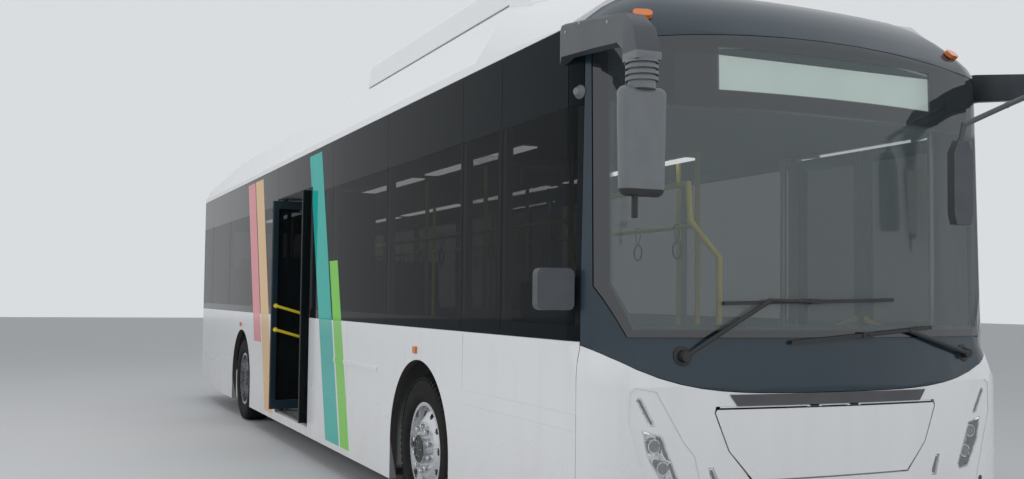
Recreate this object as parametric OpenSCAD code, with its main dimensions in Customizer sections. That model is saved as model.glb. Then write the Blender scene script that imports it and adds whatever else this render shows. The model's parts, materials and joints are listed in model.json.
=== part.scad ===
// Twelve metre low-entry airport passenger bus, right-hand drive.
// +X is forward, +Y is the left side, +Z is up, and the tyres stand on Z = 0.

/* [Body] */
// Length of the body without the mirrors
body_len = 12000; // [11600:50:12400]
// Width of the body
body_w = 2500; // [2440:10:2550]
// Height of the skirt's lower edge
skirt_z = 200; // [180:5:230]
// Height of the line between white panel and side glass
waist_z = 1258; // [1200:2:1300]
// Height of the top edge of the side glass
cantrail_z = 2760; // [2720:5:2800]
// Height of the top edge of the roof fairing
fairing_z = 3180; // [3130:5:3230]
// How far the fairing's top edge leans inward
fairing_lean = 200; // [160:5:240]
// Height of the roof pod's top
pod_z = 3380; // [3330:5:3400]
// Thickness of the side walls
wall_t = 50; // [40:2:60]
// Thickness of the side glass
glass_t = 8; // [5:1:10]
// Height of the low floor
floor_z = 290; // [280:5:300]
// Height of the raised floor at the rear
deck_z = 740; // [720:5:780]
// How far the door mirrors stand ahead of the nose
mirror_reach = 560; // [500:10:600]

/* [Axles and wheels] */
// Distance from the nose to the front axle
front_overhang = 2530; // [2480:10:2580]
// Distance between the axles
wheelbase = 6320; // [6200:10:6400]
// Outer radius of the tyres
tyre_r = 478; // [465:1:485]
// Width of each tyre
tyre_w = 275; // [265:1:285]
// Radius of the wheel disc's outer flange
rim_r = 298; // [290:1:300]
// Radius of the wheel arches
arch_r = 572; // [560:2:590]
// Distance from the middle of the bus to the middle of a front tyre
track_half = 1080; // [1070:1:1090]
// Distance from the middle of the bus to a steering pivot
kingpin_half = 920; // [900:5:940]

/* [Doors] */
// Distance from the nose to the front edge of the mid doorways
mid_door_front = 5530; // [5500:10:5560]
// Width of the mid doorways
mid_door_w = 1390; // [1340:10:1420]
// Distance from the nose to the front edge of the left front doorway
front_door_front = 560; // [540:10:600]
// Width of the left front doorway
front_door_w = 1240; // [1200:10:1260]
// Height of the doorways' upper edge
door_top_z = 2434; // [2410:2:2450]
// Thickness of a door leaf
leaf_t = 40; // [34:1:44]
// How far an open leaf stands out of the side
leaf_stands_out = 85; // [70:5:100]

/* [Front] */
// Radius of the corners of the nose beside the windscreen
corner_r = 300; // [280:5:320]
// Radius of the bow of the windscreen, seen from above
bow_r = 4600; // [4200:50:5200]
// Radius of the corners of the bumper panel
bumper_corner_r = 200; // [180:5:220]
// Radius of the bow of the bumper panel, seen from above
bumper_bow_r = 7000; // [6500:50:7600]
// Height of the windscreen's lower edge
screen_z = 1285; // [1270:5:1300]
// Height of the bumper panel's upper edge in the middle
panel_top_z = 1022; // [1000:2:1040]
// Height of the bumper panel's lower edge
panel_low_z = 250; // [230:5:280]
// Thickness of the nose panels
nose_t = 40; // [30:1:50]

/* [Hidden] */

// Colours
WHITE = [0.86, 0.88, 0.89];
MASK = [0.20, 0.24, 0.28];
BLACK = [0.05, 0.05, 0.06];
SMOKED = [0.12, 0.15, 0.17];
GREY = [0.35, 0.37, 0.39];
STEEL = [0.62, 0.64, 0.66];
YELLOW = [0.93, 0.80, 0.10];
AMBER = [0.95, 0.52, 0.08];
RED = [0.72, 0.08, 0.08];
BLUE = [0.16, 0.24, 0.42];

// Places along the bus
half_w = body_w / 2;
nose_x = (body_len - mirror_reach) / 2;
rear_x = nose_x - body_len;
rear_axle_at = front_overhang + wheelbase;      // distance of the rear axle from the nose
front_axle_x = nose_x - front_overhang;
rear_axle_x = nose_x - rear_axle_at;
// X of a place that lies d behind the nose
function behind(d) = nose_x - d;

gap = 4;              // open joint between panels
hinge_gap = 16;       // joint above a flap, with the hinge's axis in its middle
hinge_in = 5;         // depth of the hinge's axis behind the outer surface
flap_gap = 8;         // joint around the free edges of a flap
seat_gap = 0.3;       // clearance of a piece on its seat
joint_back = 302;     // where the nose panels meet the side walls
mask_end = 420;       // where the dome over the windscreen meets the roof
cab_back = 430;       // where the ceiling and the driver's platform start
corner_back = 410;    // where the corner of the nose runs into the flat side
cowl_back = 1600;     // where the roof reaches its full section
pillar_w = 90;        // width of a window pillar
header_z = 2380;      // upper edge of the window openings
sill_rise = 70;       // height of the window openings above the waist
ceiling_z = 2445;
ceiling_t = 20;
deck_t = 30;          // thickness of roof deck
deck_roof_z = 2990;
frame_depth = 60;     // depth of the frame tubes
floor_t = 20;
axle_z = tyre_r;
rear_skirt_rise = 150;
rear_skirt_len = 1600;
rear_depth = 100;     // length of the rear wall's corner pieces
rear_clear = 120;     // distance of the floor and the frame from the rear end

// Extrudes a drawing in X and Z from y0 to y1
module across(y0, y1) {
  translate([0, y1, 0]) rotate([90, 0, 0]) linear_extrude(y1 - y0) children();
}
// Extrudes a drawing in Y and Z from x0 to x1
module along(x0, x1) {
  translate([x0, 0, 0]) rotate([90, 0, 90]) linear_extrude(x1 - x0) children();
}
// A block between two corners
module block(a, b) {
  translate([min(a[0], b[0]), min(a[1], b[1]), min(a[2], b[2])])
    cube([abs(b[0] - a[0]), abs(b[1] - a[1]), abs(b[2] - a[2])]);
}
// A flat rectangle between two corners
module panel(x0, z0, x1, z1) {
  translate([min(x0, x1), min(z0, z1)]) square([abs(x1 - x0), abs(z1 - z0)]);
}
// A round bar from a to b, along any direction
module bar(a, b, r) {
  d = b - a;
  translate(a) rotate([0, acos(d[2] / norm(d)), atan2(d[1], d[0])]) cylinder(h = norm(d), r = r, $fn = 20);
}
// The same piece on both sides of the bus
module both_sides() {
  children();
  mirror([0, 1, 0]) children();
}
// Points of an arc
function arc(cx, cy, r, a0, a1, n) = [for (i = [0:n]) [cx + r * cos(a0 + (a1 - a0) * i / n),
                                                       cy + r * sin(a0 + (a1 - a0) * i / n)]];

// The nose as a stack of outlines seen from above
// Columns: height, set back, narrowing on each side, corner radius, bow radius, tilt of the surface
bow_steps = 8;
corner_steps = 7;
nose_rows = [
  [180, 40, 20, bumper_corner_r, bumper_bow_r, 0],
  [340, 0, 0, bumper_corner_r, bumper_bow_r, 0],
  [1060, 0, 0, bumper_corner_r, bumper_bow_r, 0],
  [1230, 8, 0, corner_r - 10, bow_r + 200, 0],
  [2690, 36, 0, corner_r, bow_r, 0],
  [2740, 60, 24, corner_r - 5, bow_r, 24],
  [2816, 118, 94, corner_r - 20, bow_r, 42],
  [2880, 180, 164, corner_r - 35, bow_r, 48],
  [2943, 255, 245, corner_r - 50, bow_r, 55],
  [2995, 345, 350, corner_r - 70, bow_r, 64],
  [3035, 450, 490, corner_r - 90, bow_r, 75],
  [3062, 600, 680, corner_r - 120, bow_r, 90]];

function nose_outline(row, inset, tail) =
  let (c = cos(row[5]), z = row[0] - inset * sin(row[5]), rc = row[3] - inset, rb = row[4] - inset,
       hw = half_w - row[2] - inset * c, xb = nose_x - row[1] - inset * c - rb, yc = hw - rc,
       xc = xb + sqrt(pow(rb - rc, 2) - yc * yc), a = atan2(yc, xc - xb))
  concat([[tail, -hw, z]],
         [for (p = arc(xc, -yc, rc, -90, -a, corner_steps)) [p[0], p[1], z]],
         [for (i = [1:bow_steps - 1]) let (t = -a + 2 * a * i / bow_steps) [xb + rb * cos(t), rb * sin(t), z]],
         [for (p = arc(xc, yc, rc, a, 90, corner_steps)) [p[0], p[1], z]],
         [[tail, hw, z]]);

// The outline at any height of the upright part of the nose, as points in X and Y
function row_at(z) = let (k = max([for (i = [0:len(nose_rows) - 2]) if (nose_rows[i][0] <= z) i]),
                          a = nose_rows[k], b = nose_rows[k + 1], t = (z - a[0]) / (b[0] - a[0]))
  [for (i = [0:5]) a[i] + (b[i] - a[i]) * t];
function plan_at(z, inset) = [for (p = nose_outline(row_at(z), inset, behind(cowl_back))) [p[0], p[1]]];
// X of the nose's surface at a distance y from the middle and a height z, on the bow or on the corner
function nose_front(y, z) =
  let (row = row_at(z), rc = row[3], rb = row[4], yc = half_w - row[2] - rc, xb = nose_x - row[1] - rb,
       xc = xb + sqrt(pow(rb - rc, 2) - yc * yc), edge = rb * yc / (rb - rc))
  abs(y) < edge ? xb + sqrt(rb * rb - y * y) : xc + sqrt(rc * rc - pow(abs(y) - yc, 2));

// Upright part of the bumper panel, between two depths, from z0 to z1
module panel_skin(outer, inner, z0, z1) {
  translate([0, 0, z0]) linear_extrude(z1 - z0) difference() {
    polygon(plan_at(1000, outer));
    polygon(plan_at(1000, inner));
  }
}

// A closed solid through a stack of outlines with equal numbers of points
module loft(rows) {
  n = len(rows[0]);
  top = len(rows) - 1;
  polyhedron(points = [for (r = rows) each r], faces = concat(
    [[for (i = [0:n - 1]) i]],
    [for (k = [0:top - 1], i = [0:n - 1]) [k * n + i, (k + 1) * n + i, (k + 1) * n + (i + 1) % n]],
    [for (k = [0:top - 1], i = [0:n - 1]) [k * n + i, (k + 1) * n + (i + 1) % n, k * n + (i + 1) % n]],
    [[for (i = [0:n - 1]) top * n + n - 1 - i]]));
}
module nose_body(inset) {
  tail = behind(cowl_back + 100 + (inset > 0 ? 50 : 0));
  foot = inset > 0 ? [concat([nose_rows[0][0] - 40], [for (i = [1:5]) nose_rows[0][i]])] : [];
  loft([for (row = concat(foot, inset > 0 ? [for (i = [1:len(nose_rows) - 1]) nose_rows[i]] : nose_rows))
    nose_outline(row, inset, tail)]);
}
// The skin of the nose between two depths
module nose_skin(outer, inner) {
  difference() {
    nose_body(outer);
    nose_body(inner);
  }
}

// Height of the bumper panel's upper edge at a distance y from the middle
panel_rise = waist_z - panel_top_z;
function panel_edge(y) = panel_top_z + panel_rise * pow(abs(y) / half_w, 4);
edge_steps = 24;
module below_edge(lift, floor_at) {
  polygon(concat([[-half_w - 10, floor_at]],
                 [for (i = [0:edge_steps]) let (y = -half_w - 10 + (body_w + 20) * i / edge_steps)
                   [y, min(panel_edge(y), waist_z) + lift]],
                 [[half_w + 10, floor_at]]));
}

// Windscreen outline in Y and Z
screen_half = 1195;
screen_low_half = 1075;
screen_cut_z = 1518;
screen_top_z = 2742;
screen_top_drop = 88;
module screen_outline(inset) {
  top_steps = 12;
  h = screen_half - inset;
  l = screen_low_half - inset * 0.6;
  polygon(concat([[-l, screen_z + inset], [l, screen_z + inset], [h, screen_cut_z + inset * 0.4]],
                 [for (i = [0:top_steps]) let (y = h - 2 * h * i / top_steps)
                   [y, screen_top_z - inset - screen_top_drop * pow(y / screen_half, 2)]],
                 [[-h, screen_cut_z + inset * 0.4]]));
}

// Front pieces
module front_mask() {
  ledge = 12 + seat_gap;
  color(MASK) difference() {
    nose_skin(0, nose_t);
    // everything below the curved edge, and all behind the joint with the sides and the roof
    along(behind(2000), nose_x + 100) below_edge(gap, 0);
    block([behind(3000), -half_w - 50, 0], [behind(joint_back), half_w + 50, cantrail_z + 10]);
    block([behind(3000), -half_w - 50, cantrail_z], [behind(mask_end), half_w + 50, 3400]);
    along(behind(2000), nose_x + 100) screen_outline(60);
    intersection() {
      nose_skin(-10, ledge);
      along(behind(2000), nose_x + 100) screen_outline(-gap);
    }
  }
}
module windscreen() {
  color(SMOKED) intersection() {
    nose_skin(0, 12);
    along(behind(2000), nose_x + 100) screen_outline(0);
  }
}
// Outline of the opening flap in Y and Z
flap_top = [668, 952];
flap_mid = [591, 762];
flap_low = [465, 624];
flap_cut = 14;           // length cut off the upper corners, which swing inward when the flap opens
flap_side = flap_top - [(flap_top[0] - flap_mid[0]) / (flap_top[1] - flap_mid[1]), 1] * flap_cut;
module flap_outline(grow, rise) {
  half = [[flap_top[0] - flap_cut + grow, flap_top[1] + rise], [flap_side[0] + grow, flap_side[1]],
          [flap_mid[0] + grow, flap_mid[1]], [flap_low[0] + grow, flap_low[1] - grow]];
  polygon(concat(half, mirrored(half)));
}
// Lamps of the right side in Y and Z: shallow pocket round the lamps, main lamp, slim lamp above it, slit lamp
pocket_pts = [[-1098, 900], [-1090, 1040], [-1062, 1058], [-960, 1040], [-820, 802], [-769, 745], [-735, 600],
              [-735, 540], [-990, 540], [-1062, 790]];
main_lamp_pts = [[-1030, 868], [-930, 840], [-900, 762], [-842, 628], [-858, 600], [-925, 612], [-1004, 748]];
slim_lamp_pts = [[-1058, 1000], [-1050, 1014], [-1034, 1014], [-970, 900], [-968, 884], [-992, 884]];
slit_lamp_pts = [[-703, 690], [-674, 690], [-642, 616], [-642, 584], [-676, 584]];
lamp_shapes = [main_lamp_pts, slim_lamp_pts, slit_lamp_pts];
lamp_low = 560;
lamp_high = 1030;
pocket_depth = 5;
lens_t = 4;
light_units = [[-962, 792], [-919, 690]];        // Y and Z of the round units in the main lamp
light_unit_r = 33;
light_unit_h = nose_t - lens_t - 8;
// Drawing in Y and Z cut out between two depths of the bumper panel, on both sides
module lamp_piece(outer, inner, shrink) {
  both_sides() intersection() {
    panel_skin(outer, inner, lamp_low, lamp_high);
    along(behind(400), nose_x + 100) for (shape = lamp_shapes) offset(delta = -shrink) polygon(shape);
  }
}
module front_panel() {
  color(WHITE) difference() {
    nose_skin(0, nose_t);
    along(behind(2000), nose_x + 100) difference() {
      translate([-half_w - 200, 0]) square([body_w + 400, 3400]);
      intersection() {
        below_edge(0, 0);
        translate([-half_w - 200, panel_low_z]) square([body_w + 400, 2000]);
      }
    }
    block([behind(3000), -half_w - 50, 0], [behind(joint_back), half_w + 50, 3400]);
    along(behind(600), nose_x + 100) flap_outline(flap_gap, hinge_gap);
    both_sides() {
      along(behind(400), nose_x + 100) for (shape = lamp_shapes) polygon(shape);
      intersection() {
        panel_skin(-10, pocket_depth, lamp_low - 20, lamp_high + 28);
        along(behind(400), nose_x + 100) polygon(pocket_pts);
      }
    }
  }
  color(STEEL) hinge_lugs([nose_x - hinge_in, flap_top[1] + hinge_gap / 2], 1, 120);
}
// Hinge at an axis in X and Z: lugs with a pin, and the knuckle that turns on it
// out is the direction of the outer surface along X, y the distance of the hinge from the middle
pin_r = 2.5;
knuckle_r = 4.5;
knuckle_half = 24;
module hinge_lugs(axis, out, y) {
  for (s = [-1, 1]) translate([axis[0], s * y, axis[1]]) {
    rotate([90, 0, 0]) cylinder(h = 2 * knuckle_half + 34, r = pin_r, $fn = 24, center = true);
    for (t = [-1, 1]) translate([-out * 5, t * (knuckle_half + 11), 4]) cube([11, 12, 14], center = true);
  }
}
module hinge_knuckles(axis, out, y) {
  for (s = [-1, 1]) translate([axis[0], s * y, axis[1]]) difference() {
    union() {
      rotate([90, 0, 0]) cylinder(h = 2 * knuckle_half, r = knuckle_r, $fn = 32, center = true);
      translate([-out * 2, 0, -7]) cube([6, 2 * knuckle_half, 11], center = true);
    }
    rotate([90, 0, 0]) cylinder(h = 2 * knuckle_half + 2, r = pin_r + running, $fn = 32, center = true);
  }
}
flap_t = 24;
flap_skin_t = 6;
flap_inset = 20;         // the stiffening behind the skin ends this much inside the flap's edge
module front_flap() {
  color(WHITE) {
    intersection() {
      panel_skin(0, flap_skin_t, flap_low[1], flap_top[1]);
      along(behind(600), nose_x + 100) flap_outline(0, 0);
    }
    intersection() {
      panel_skin(flap_skin_t / 2, flap_t, flap_low[1], flap_top[1]);
      along(behind(600), nose_x + 100) flap_outline(-flap_inset, 0);
    }
  }
  color(STEEL) hinge_knuckles([nose_x - hinge_in, flap_top[1] + hinge_gap / 2], 1, 120);
}
// Dark bar above the flap
trim_pts = [[-592, 1022], [592, 1022], [552, 968], [-552, 968]];
module front_trim() {
  color(BLACK) intersection() {
    panel_skin(-6, -seat_gap, trim_pts[2][1], trim_pts[0][1]);
    along(behind(600), nose_x + 100) polygon(trim_pts);
  }
}
// Housings of the lamps, hollow behind the lenses, with the round light units in the main lamp
module head_lamps() {
  color(GREY) {
    difference() {
      lamp_piece(lens_t + 2, nose_t + 20, seat_gap);
      lamp_piece(-10, nose_t, 8);
    }
    both_sides() for (c = light_units) translate([nose_front(c[0], c[1]) - nose_t - 6, c[0], c[1]])
      rotate([0, 90, 0]) difference() {
        cylinder(h = light_unit_h, r = light_unit_r, $fn = 40);
        translate([0, 0, light_unit_h - 10]) cylinder(h = 20, r = light_unit_r - 6, $fn = 40);
      }
  }
}
module lamp_lenses() {
  color(SMOKED) lamp_piece(1, lens_t + 1, seat_gap);
}

// Side walls
mid_door_back = mid_door_front + mid_door_w;
front_door_back = front_door_front + front_door_w;
door_pillar = 40;        // width of the pillar beside a doorway
front_cuts = [1204, 1786, 3255, 4774];          // joints of the panes ahead of the mid doorway
rear_pane_widths = [1252, 1588, 1371, 729];     // how the panes share the length behind the mid doorway
function sum_to(list, n) = n < 1 ? 0 : list[n - 1] + sum_to(list, n - 1);
function pairs(cuts) = [for (i = [0:len(cuts) - 2]) [cuts[i], cuts[i + 1]]];
rear_span = body_len - rear_depth - mid_door_back - door_pillar;
rear_cuts = [for (i = [0:4]) mid_door_back + door_pillar
             + rear_span * sum_to(rear_pane_widths, i) / sum_to(rear_pane_widths, 4)];
// Columns: distance of the front edge from the nose, distance of the rear edge
right_panes = concat(pairs(concat([joint_back], front_cuts, [mid_door_front - door_pillar])), pairs(rear_cuts));
left_panes = concat(pairs([front_door_back + door_pillar, front_cuts[2], front_cuts[3],
                           mid_door_front - door_pillar]), pairs(rear_cuts));

module arches() {
  for (x = [front_axle_x, rear_axle_x]) translate([x, axle_z]) {
    circle(r = arch_r, $fn = 96);
    translate([-arch_r, -axle_z]) square([2 * arch_r, axle_z]);
  }
}
// Doorways of one side: columns front edge, rear edge
function doorways(side) = side < 0 ? [[mid_door_front, mid_door_back]]
                                   : [[front_door_front, front_door_back], [mid_door_front, mid_door_back]];
module doorway_cuts(side) {
  for (d = doorways(side)) panel(behind(d[0]), skirt_z + 80, behind(d[1]), door_top_z);
}
module wall_drawing(side, front) {
  difference() {
    polygon([[behind(front), skirt_z], [rear_x + rear_skirt_len, skirt_z],
             [rear_x + rear_depth, skirt_z + rear_skirt_rise], [rear_x + rear_depth, cantrail_z],
             [behind(front), cantrail_z]]);
    arches();
    doorway_cuts(side);
    for (p = side < 0 ? right_panes : left_panes)
      panel(behind(p[0] + pillar_w / 2), waist_z + sill_rise, behind(p[1] - pillar_w / 2), header_z);
  }
}
// Grooves between the outer panels: columns first distance from the nose, height, second distance, height
seam_w = 4;
seam_depth = 2;
arch_seam = front_overhang - 787;               // upright groove ahead of the front arch
seams = [for (z = [839, 919]) [joint_back, z, arch_seam - 53, z + seam_w],
         [arch_seam, 925, arch_seam + seam_w, waist_z - 13],
         for (d = [front_overhang + 1710, mid_door_front - 132, mid_door_back + 140, rear_axle_at + 790,
                   body_len - 1300]) [d, skirt_z, d + seam_w, waist_z]];
// Raised strip between the front arch and the doorway
strip = [[front_overhang + 897, 914], [mid_door_front - 577, 948]];
strip_t = 6;
module side_wall(side) {
  recess = glass_t + seat_gap;
  color(WHITE) difference() {
    union() {
      block([behind(strip[1][0]), -half_w - strip_t, strip[0][1]],
            [behind(strip[0][0]), -half_w + strip_t, strip[1][1]]);
      across(-half_w, -half_w + wall_t) wall_drawing(side, corner_back);
      intersection() {
        nose_skin(0, nose_t);
        across(-half_w - 10, -half_w + 300) wall_drawing(side, joint_back + gap);
        block([behind(corner_back), -half_w - 10, 0], [behind(joint_back), -half_w + 300, cantrail_z]);
      }
    }
    for (g = seams) block([behind(g[0]), -half_w - 1, g[1]], [behind(g[2]), -half_w + seam_depth, g[3]]);
    // recess that the glass is bonded in
    across(-half_w - 10, -half_w + recess) panel(behind(corner_back), waist_z, rear_x + rear_depth, cantrail_z);
    intersection() {
      nose_skin(-10, recess);
      block([behind(corner_back), -half_w - 10, waist_z], [behind(joint_back - 10), 0, cantrail_z + 5]);
    }
  }
}
module side_wall_right() {
  side_wall(-1);
}
module side_wall_left() {
  mirror([0, 1, 0]) side_wall(1);
}
module panes(side) {
  list = side < 0 ? right_panes : left_panes;
  low = waist_z + gap / 2;
  high = cantrail_z - gap / 2;
  color(SMOKED) {
    across(-half_w, -half_w + glass_t) {
      for (p = list) if (p[0] > joint_back) panel(behind(p[0] + gap / 2), low, behind(p[1] - gap / 2), high);
      for (d = doorways(side))
        panel(behind(d[0] - door_pillar + gap / 2), door_top_z + gap, behind(d[1] + door_pillar - gap / 2), high);
    }
    // the foremost pane follows the corner of the nose
    union() {
      across(-half_w, -half_w + glass_t)
        panel(behind(corner_back), low, behind(side < 0 ? list[0][1] - gap / 2 : front_door_front - gap), high);
      intersection() {
        nose_skin(0, glass_t);
        block([behind(corner_back), -half_w - 10, low], [behind(joint_back + gap), -half_w + 300, high]);
      }
    }
  }
}
module side_windows() {
  panes(-1);
  mirror([0, 1, 0]) panes(1);
}

// Roof: half of the section of the fairing, on the left side, in Y and Z
gutter_h = 50;
fair_t = 40;
function roof_half() = concat(
  [[half_w, cantrail_z + 2], [half_w, cantrail_z + gutter_h], [half_w - 16, cantrail_z + gutter_h + 12]],
  arc(half_w - fairing_lean - 46, fairing_z - 60, 60, 27, 90, 5),
  [[half_w - fairing_lean - 100, fairing_z], [half_w - fairing_lean - 100, fairing_z - fair_t],
   [half_w - fairing_lean - 110, deck_roof_z]]);
function mirrored(pts) = [for (i = [len(pts) - 1:-1:0]) [-pts[i][0], pts[i][1]]];
module roof_section() {
  difference() {
    polygon(concat(roof_half(), mirrored(roof_half())));
    // closed space between ceiling and deck
    polygon(concat([[half_w - wall_t, cantrail_z - 5], [half_w - wall_t, cantrail_z + 40],
                    [half_w - 200, deck_roof_z - deck_t]],
                   mirrored([[half_w - wall_t, cantrail_z - 5], [half_w - wall_t, cantrail_z + 40],
                             [half_w - 200, deck_roof_z - deck_t]])));
  }
}
module cowl_section(back, grow) {
  // the section that the dome has where it meets the roof
  half = concat([[half_w, cantrail_z + 2], [half_w, cantrail_z + 8]],
                [for (i = [6:9]) [half_w - nose_rows[i][2] + grow, nose_rows[i][0] + grow]]);
  along(behind(back) - 1, behind(back)) polygon(concat(half, mirrored(half)));
}
// Solid of the cowl between the dome and the fairings
module cowl(grow) {
  hull() {
    along(behind(cowl_back), behind(cowl_back) + 1)
      polygon([for (p = concat(roof_half(), mirrored(roof_half()))) [p[0], p[1] + grow]]);
    cowl_section(mask_end + seat_gap, grow);
  }
}
// Left half of the space inside the cowl
cowl_hollow = [[half_w - wall_t, cantrail_z - 5], [half_w - wall_t, cantrail_z + 10],
               [half_w - 350, deck_roof_z - 70]];
tail_low = 2930;         // height of the roof's rear end
tail_len = 2000;         // length of the sloping tail
module roof_shell() {
  tail_x = rear_x + tail_len;
  roof_end = rear_x + rear_depth;
  color(WHITE) {
    difference() {
      union() {
        along(roof_end, behind(cowl_back)) roof_section();
        // sloping tail between the fairings
        across(-half_w + fairing_lean + 100, half_w - fairing_lean - 100)
          polygon([[tail_x, fairing_z - gap], [roof_end, tail_low + 30],
                   [roof_end, tail_low - 10], [tail_x, fairing_z - fair_t]]);
      }
      across(-half_w - 10, half_w + 10)
        polygon([[tail_x, fairing_z], [tail_x, fairing_z + 200],
                 [rear_x - 10, fairing_z + 200], [rear_x - 10, tail_low + 10]]);
    }
    // cowl from the dome up to the fairing
    difference() {
      cowl(0);
      along(behind(cowl_back + 10), behind(400)) polygon(concat(cowl_hollow, mirrored(cowl_hollow)));
    }
    // ceiling lining and its edge rails
    block([roof_end + 10, -half_w + wall_t, ceiling_z],
          [behind(cab_back), half_w - wall_t, ceiling_z + ceiling_t]);
    both_sides() block([roof_end + 10, -half_w + wall_t, ceiling_z],
                       [behind(cab_back), -half_w + wall_t + 30, cantrail_z + 20]);
  }
}

// Roof units on the deck behind the pod: columns distance of the front end from the nose, of the rear end
pod_front = 1180;
pod_rear = 4500;
unit_space = 300;
unit_len = (body_len - tail_len - 200 - pod_rear - 2 * unit_space) / 2;
roof_units_table = [for (i = [0, 1])
  let (d = pod_rear + unit_space + i * (unit_len + unit_space)) [d, d + unit_len]];
unit_half = 900;
unit_h = 160;
unit_top = max(fairing_z - 30, deck_roof_z + unit_h);
fan_r = 230;
pod_half = half_w - fairing_lean;
pod_foot = 939;          // half width of the pod's foot between the fairings
pod_r = 60;              // radius of the pod's long edges
pod_rear_r = 150;        // radius of its rear edge
pod_front_r = 600;       // radius of its sloping front
pod_drop = 180;          // how far its front reaches down before the cowl's end
module roof_unit(front, rear) {
  length = rear - front;
  across(-unit_half, unit_half) polygon(concat(
    [[behind(rear), deck_roof_z + seat_gap]],
    arc(behind(rear) + 60, unit_top - 60, 60, 180, 90, 5),
    arc(behind(front) - 60, unit_top - 60, 60, 90, 0, 5),
    [[behind(front), deck_roof_z + seat_gap]]));
  for (t = [0.25, 0.75], y = [-430, 430]) translate([behind(front + t * length), y, unit_top - 1])
    difference() {
      cylinder(h = 26, r = fan_r, $fn = 72);
      translate([0, 0, 6]) cylinder(h = 30, r = fan_r - 12, $fn = 72);
    }
}
// Pod over the front half of the roof, resting on the fairings
module pod() {
  foot_z = fairing_z + seat_gap;
  intersection() {
    across(-pod_half, pod_half) polygon(concat(
      [[behind(pod_rear), foot_z]],
      arc(behind(pod_rear) + pod_rear_r + 40, pod_z - pod_rear_r, pod_rear_r, 165, 90, 7),
      arc(behind(pod_front) - pod_front_r - 20, pod_z - pod_front_r, pod_front_r, 90, 42, 8),
      [[behind(pod_front), foot_z - pod_drop], [behind(cowl_back) + 1, foot_z - pod_drop],
       [behind(cowl_back) + 1, foot_z]]));
    along(behind(pod_rear) - 10, behind(pod_front) + 10) polygon(concat(
      [[-pod_half, foot_z - 200], [pod_half, foot_z - 200]],
      arc(pod_half - pod_r - 14, pod_z - pod_r, pod_r, 8, 90, 6),
      arc(-pod_half + pod_r + 14, pod_z - pod_r, pod_r, 90, 172, 6)));
  }
  across(-pod_foot, pod_foot)
    panel(behind(pod_rear) + 60, deck_roof_z + seat_gap, behind(cowl_back + 20), foot_z + 40);
}
module roof_units() {
  color(WHITE) {
    for (u = roof_units_table) roof_unit(u[0], u[1]);
    difference() {
      pod();
      cowl(seat_gap);
    }
  }
}

// Rear
rear_r = 110;
function rear_side(inset, n) = concat(
  arc(rear_x + rear_r, -half_w + rear_r, rear_r - inset, 270, 180, n),
  arc(rear_x + rear_r, half_w - rear_r, rear_r - inset, 180, 90, n));
// Plan of the rear wall, open towards the cabin
module rear_plan() {
  inner = rear_side(wall_t, 5);
  polygon(concat([[rear_x + rear_depth, -half_w]],
                 [for (p = rear_side(0, 5)) [min(p[0], rear_x + rear_depth), p[1]]],
                 [[rear_x + rear_depth, half_w], [rear_x + rear_depth, half_w - wall_t]],
                 [for (i = [len(inner) - 1:-1:0]) [min(inner[i][0], rear_x + rear_depth), inner[i][1]]],
                 [[rear_x + rear_depth, -half_w + wall_t]]));
}
lid_half = 900;
lid_low = 560;
lid_top = 1560;
rear_glass_half = 950;
rear_glass_low = 1700;
rear_glass_top = 2500;
rear_low_z = skirt_z + rear_skirt_rise + 20;
rear_top_z = 2930;
module rear_wall() {
  rear_wall_hinges();
  color(WHITE) intersection() {
    difference() {
      translate([0, 0, rear_low_z]) linear_extrude(rear_top_z - rear_low_z) rear_plan();
      block([rear_x - 10, -lid_half - flap_gap, lid_low - flap_gap],
            [rear_x + 150, lid_half + flap_gap, lid_top + hinge_gap]);
      block([rear_x - 10, -rear_glass_half + 60, rear_glass_low + 60],
            [rear_x + 150, rear_glass_half - 60, rear_glass_top - 60]);
      block([rear_x - 10, -rear_glass_half - gap, rear_glass_low - gap],
            [rear_x + glass_t + seat_gap, rear_glass_half + gap, rear_glass_top + gap]);
      both_sides() block([rear_x - 10, -1180, 900], [rear_x + 20, -1040, 1560]);
    }
    along(rear_x - 10, rear_x + 150) polygon(concat([[half_w + 10, rear_low_z - 10]],
      [[half_w + 10, cantrail_z + gutter_h], [half_w - 16, cantrail_z + gutter_h + 12],
       [half_w - 80, rear_top_z + 10]],
      mirrored([[half_w + 10, rear_low_z - 10], [half_w + 10, cantrail_z + gutter_h],
                [half_w - 16, cantrail_z + gutter_h + 12], [half_w - 80, rear_top_z + 10]])));
  }
}
module rear_wall_hinges() {
  color(STEEL) hinge_lugs([rear_x + hinge_in, lid_top + hinge_gap / 2], -1, 560);
}
module rear_window() {
  color(SMOKED)
    block([rear_x, -rear_glass_half, rear_glass_low], [rear_x + glass_t, rear_glass_half, rear_glass_top]);
}
module rear_lid() {
  color(WHITE) block([rear_x, -lid_half, lid_low], [rear_x + 30, lid_half, lid_top]);
  color(STEEL) hinge_knuckles([rear_x + hinge_in, lid_top + hinge_gap / 2], -1, 560);
}
module rear_lamps() {
  color(RED) both_sides() for (i = [0:3])
    translate([rear_x + 4, -1110, 980 + i * 165]) rotate([0, 90, 0]) cylinder(h = 16 - seat_gap, r = 62, $fn = 40);
}

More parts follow.
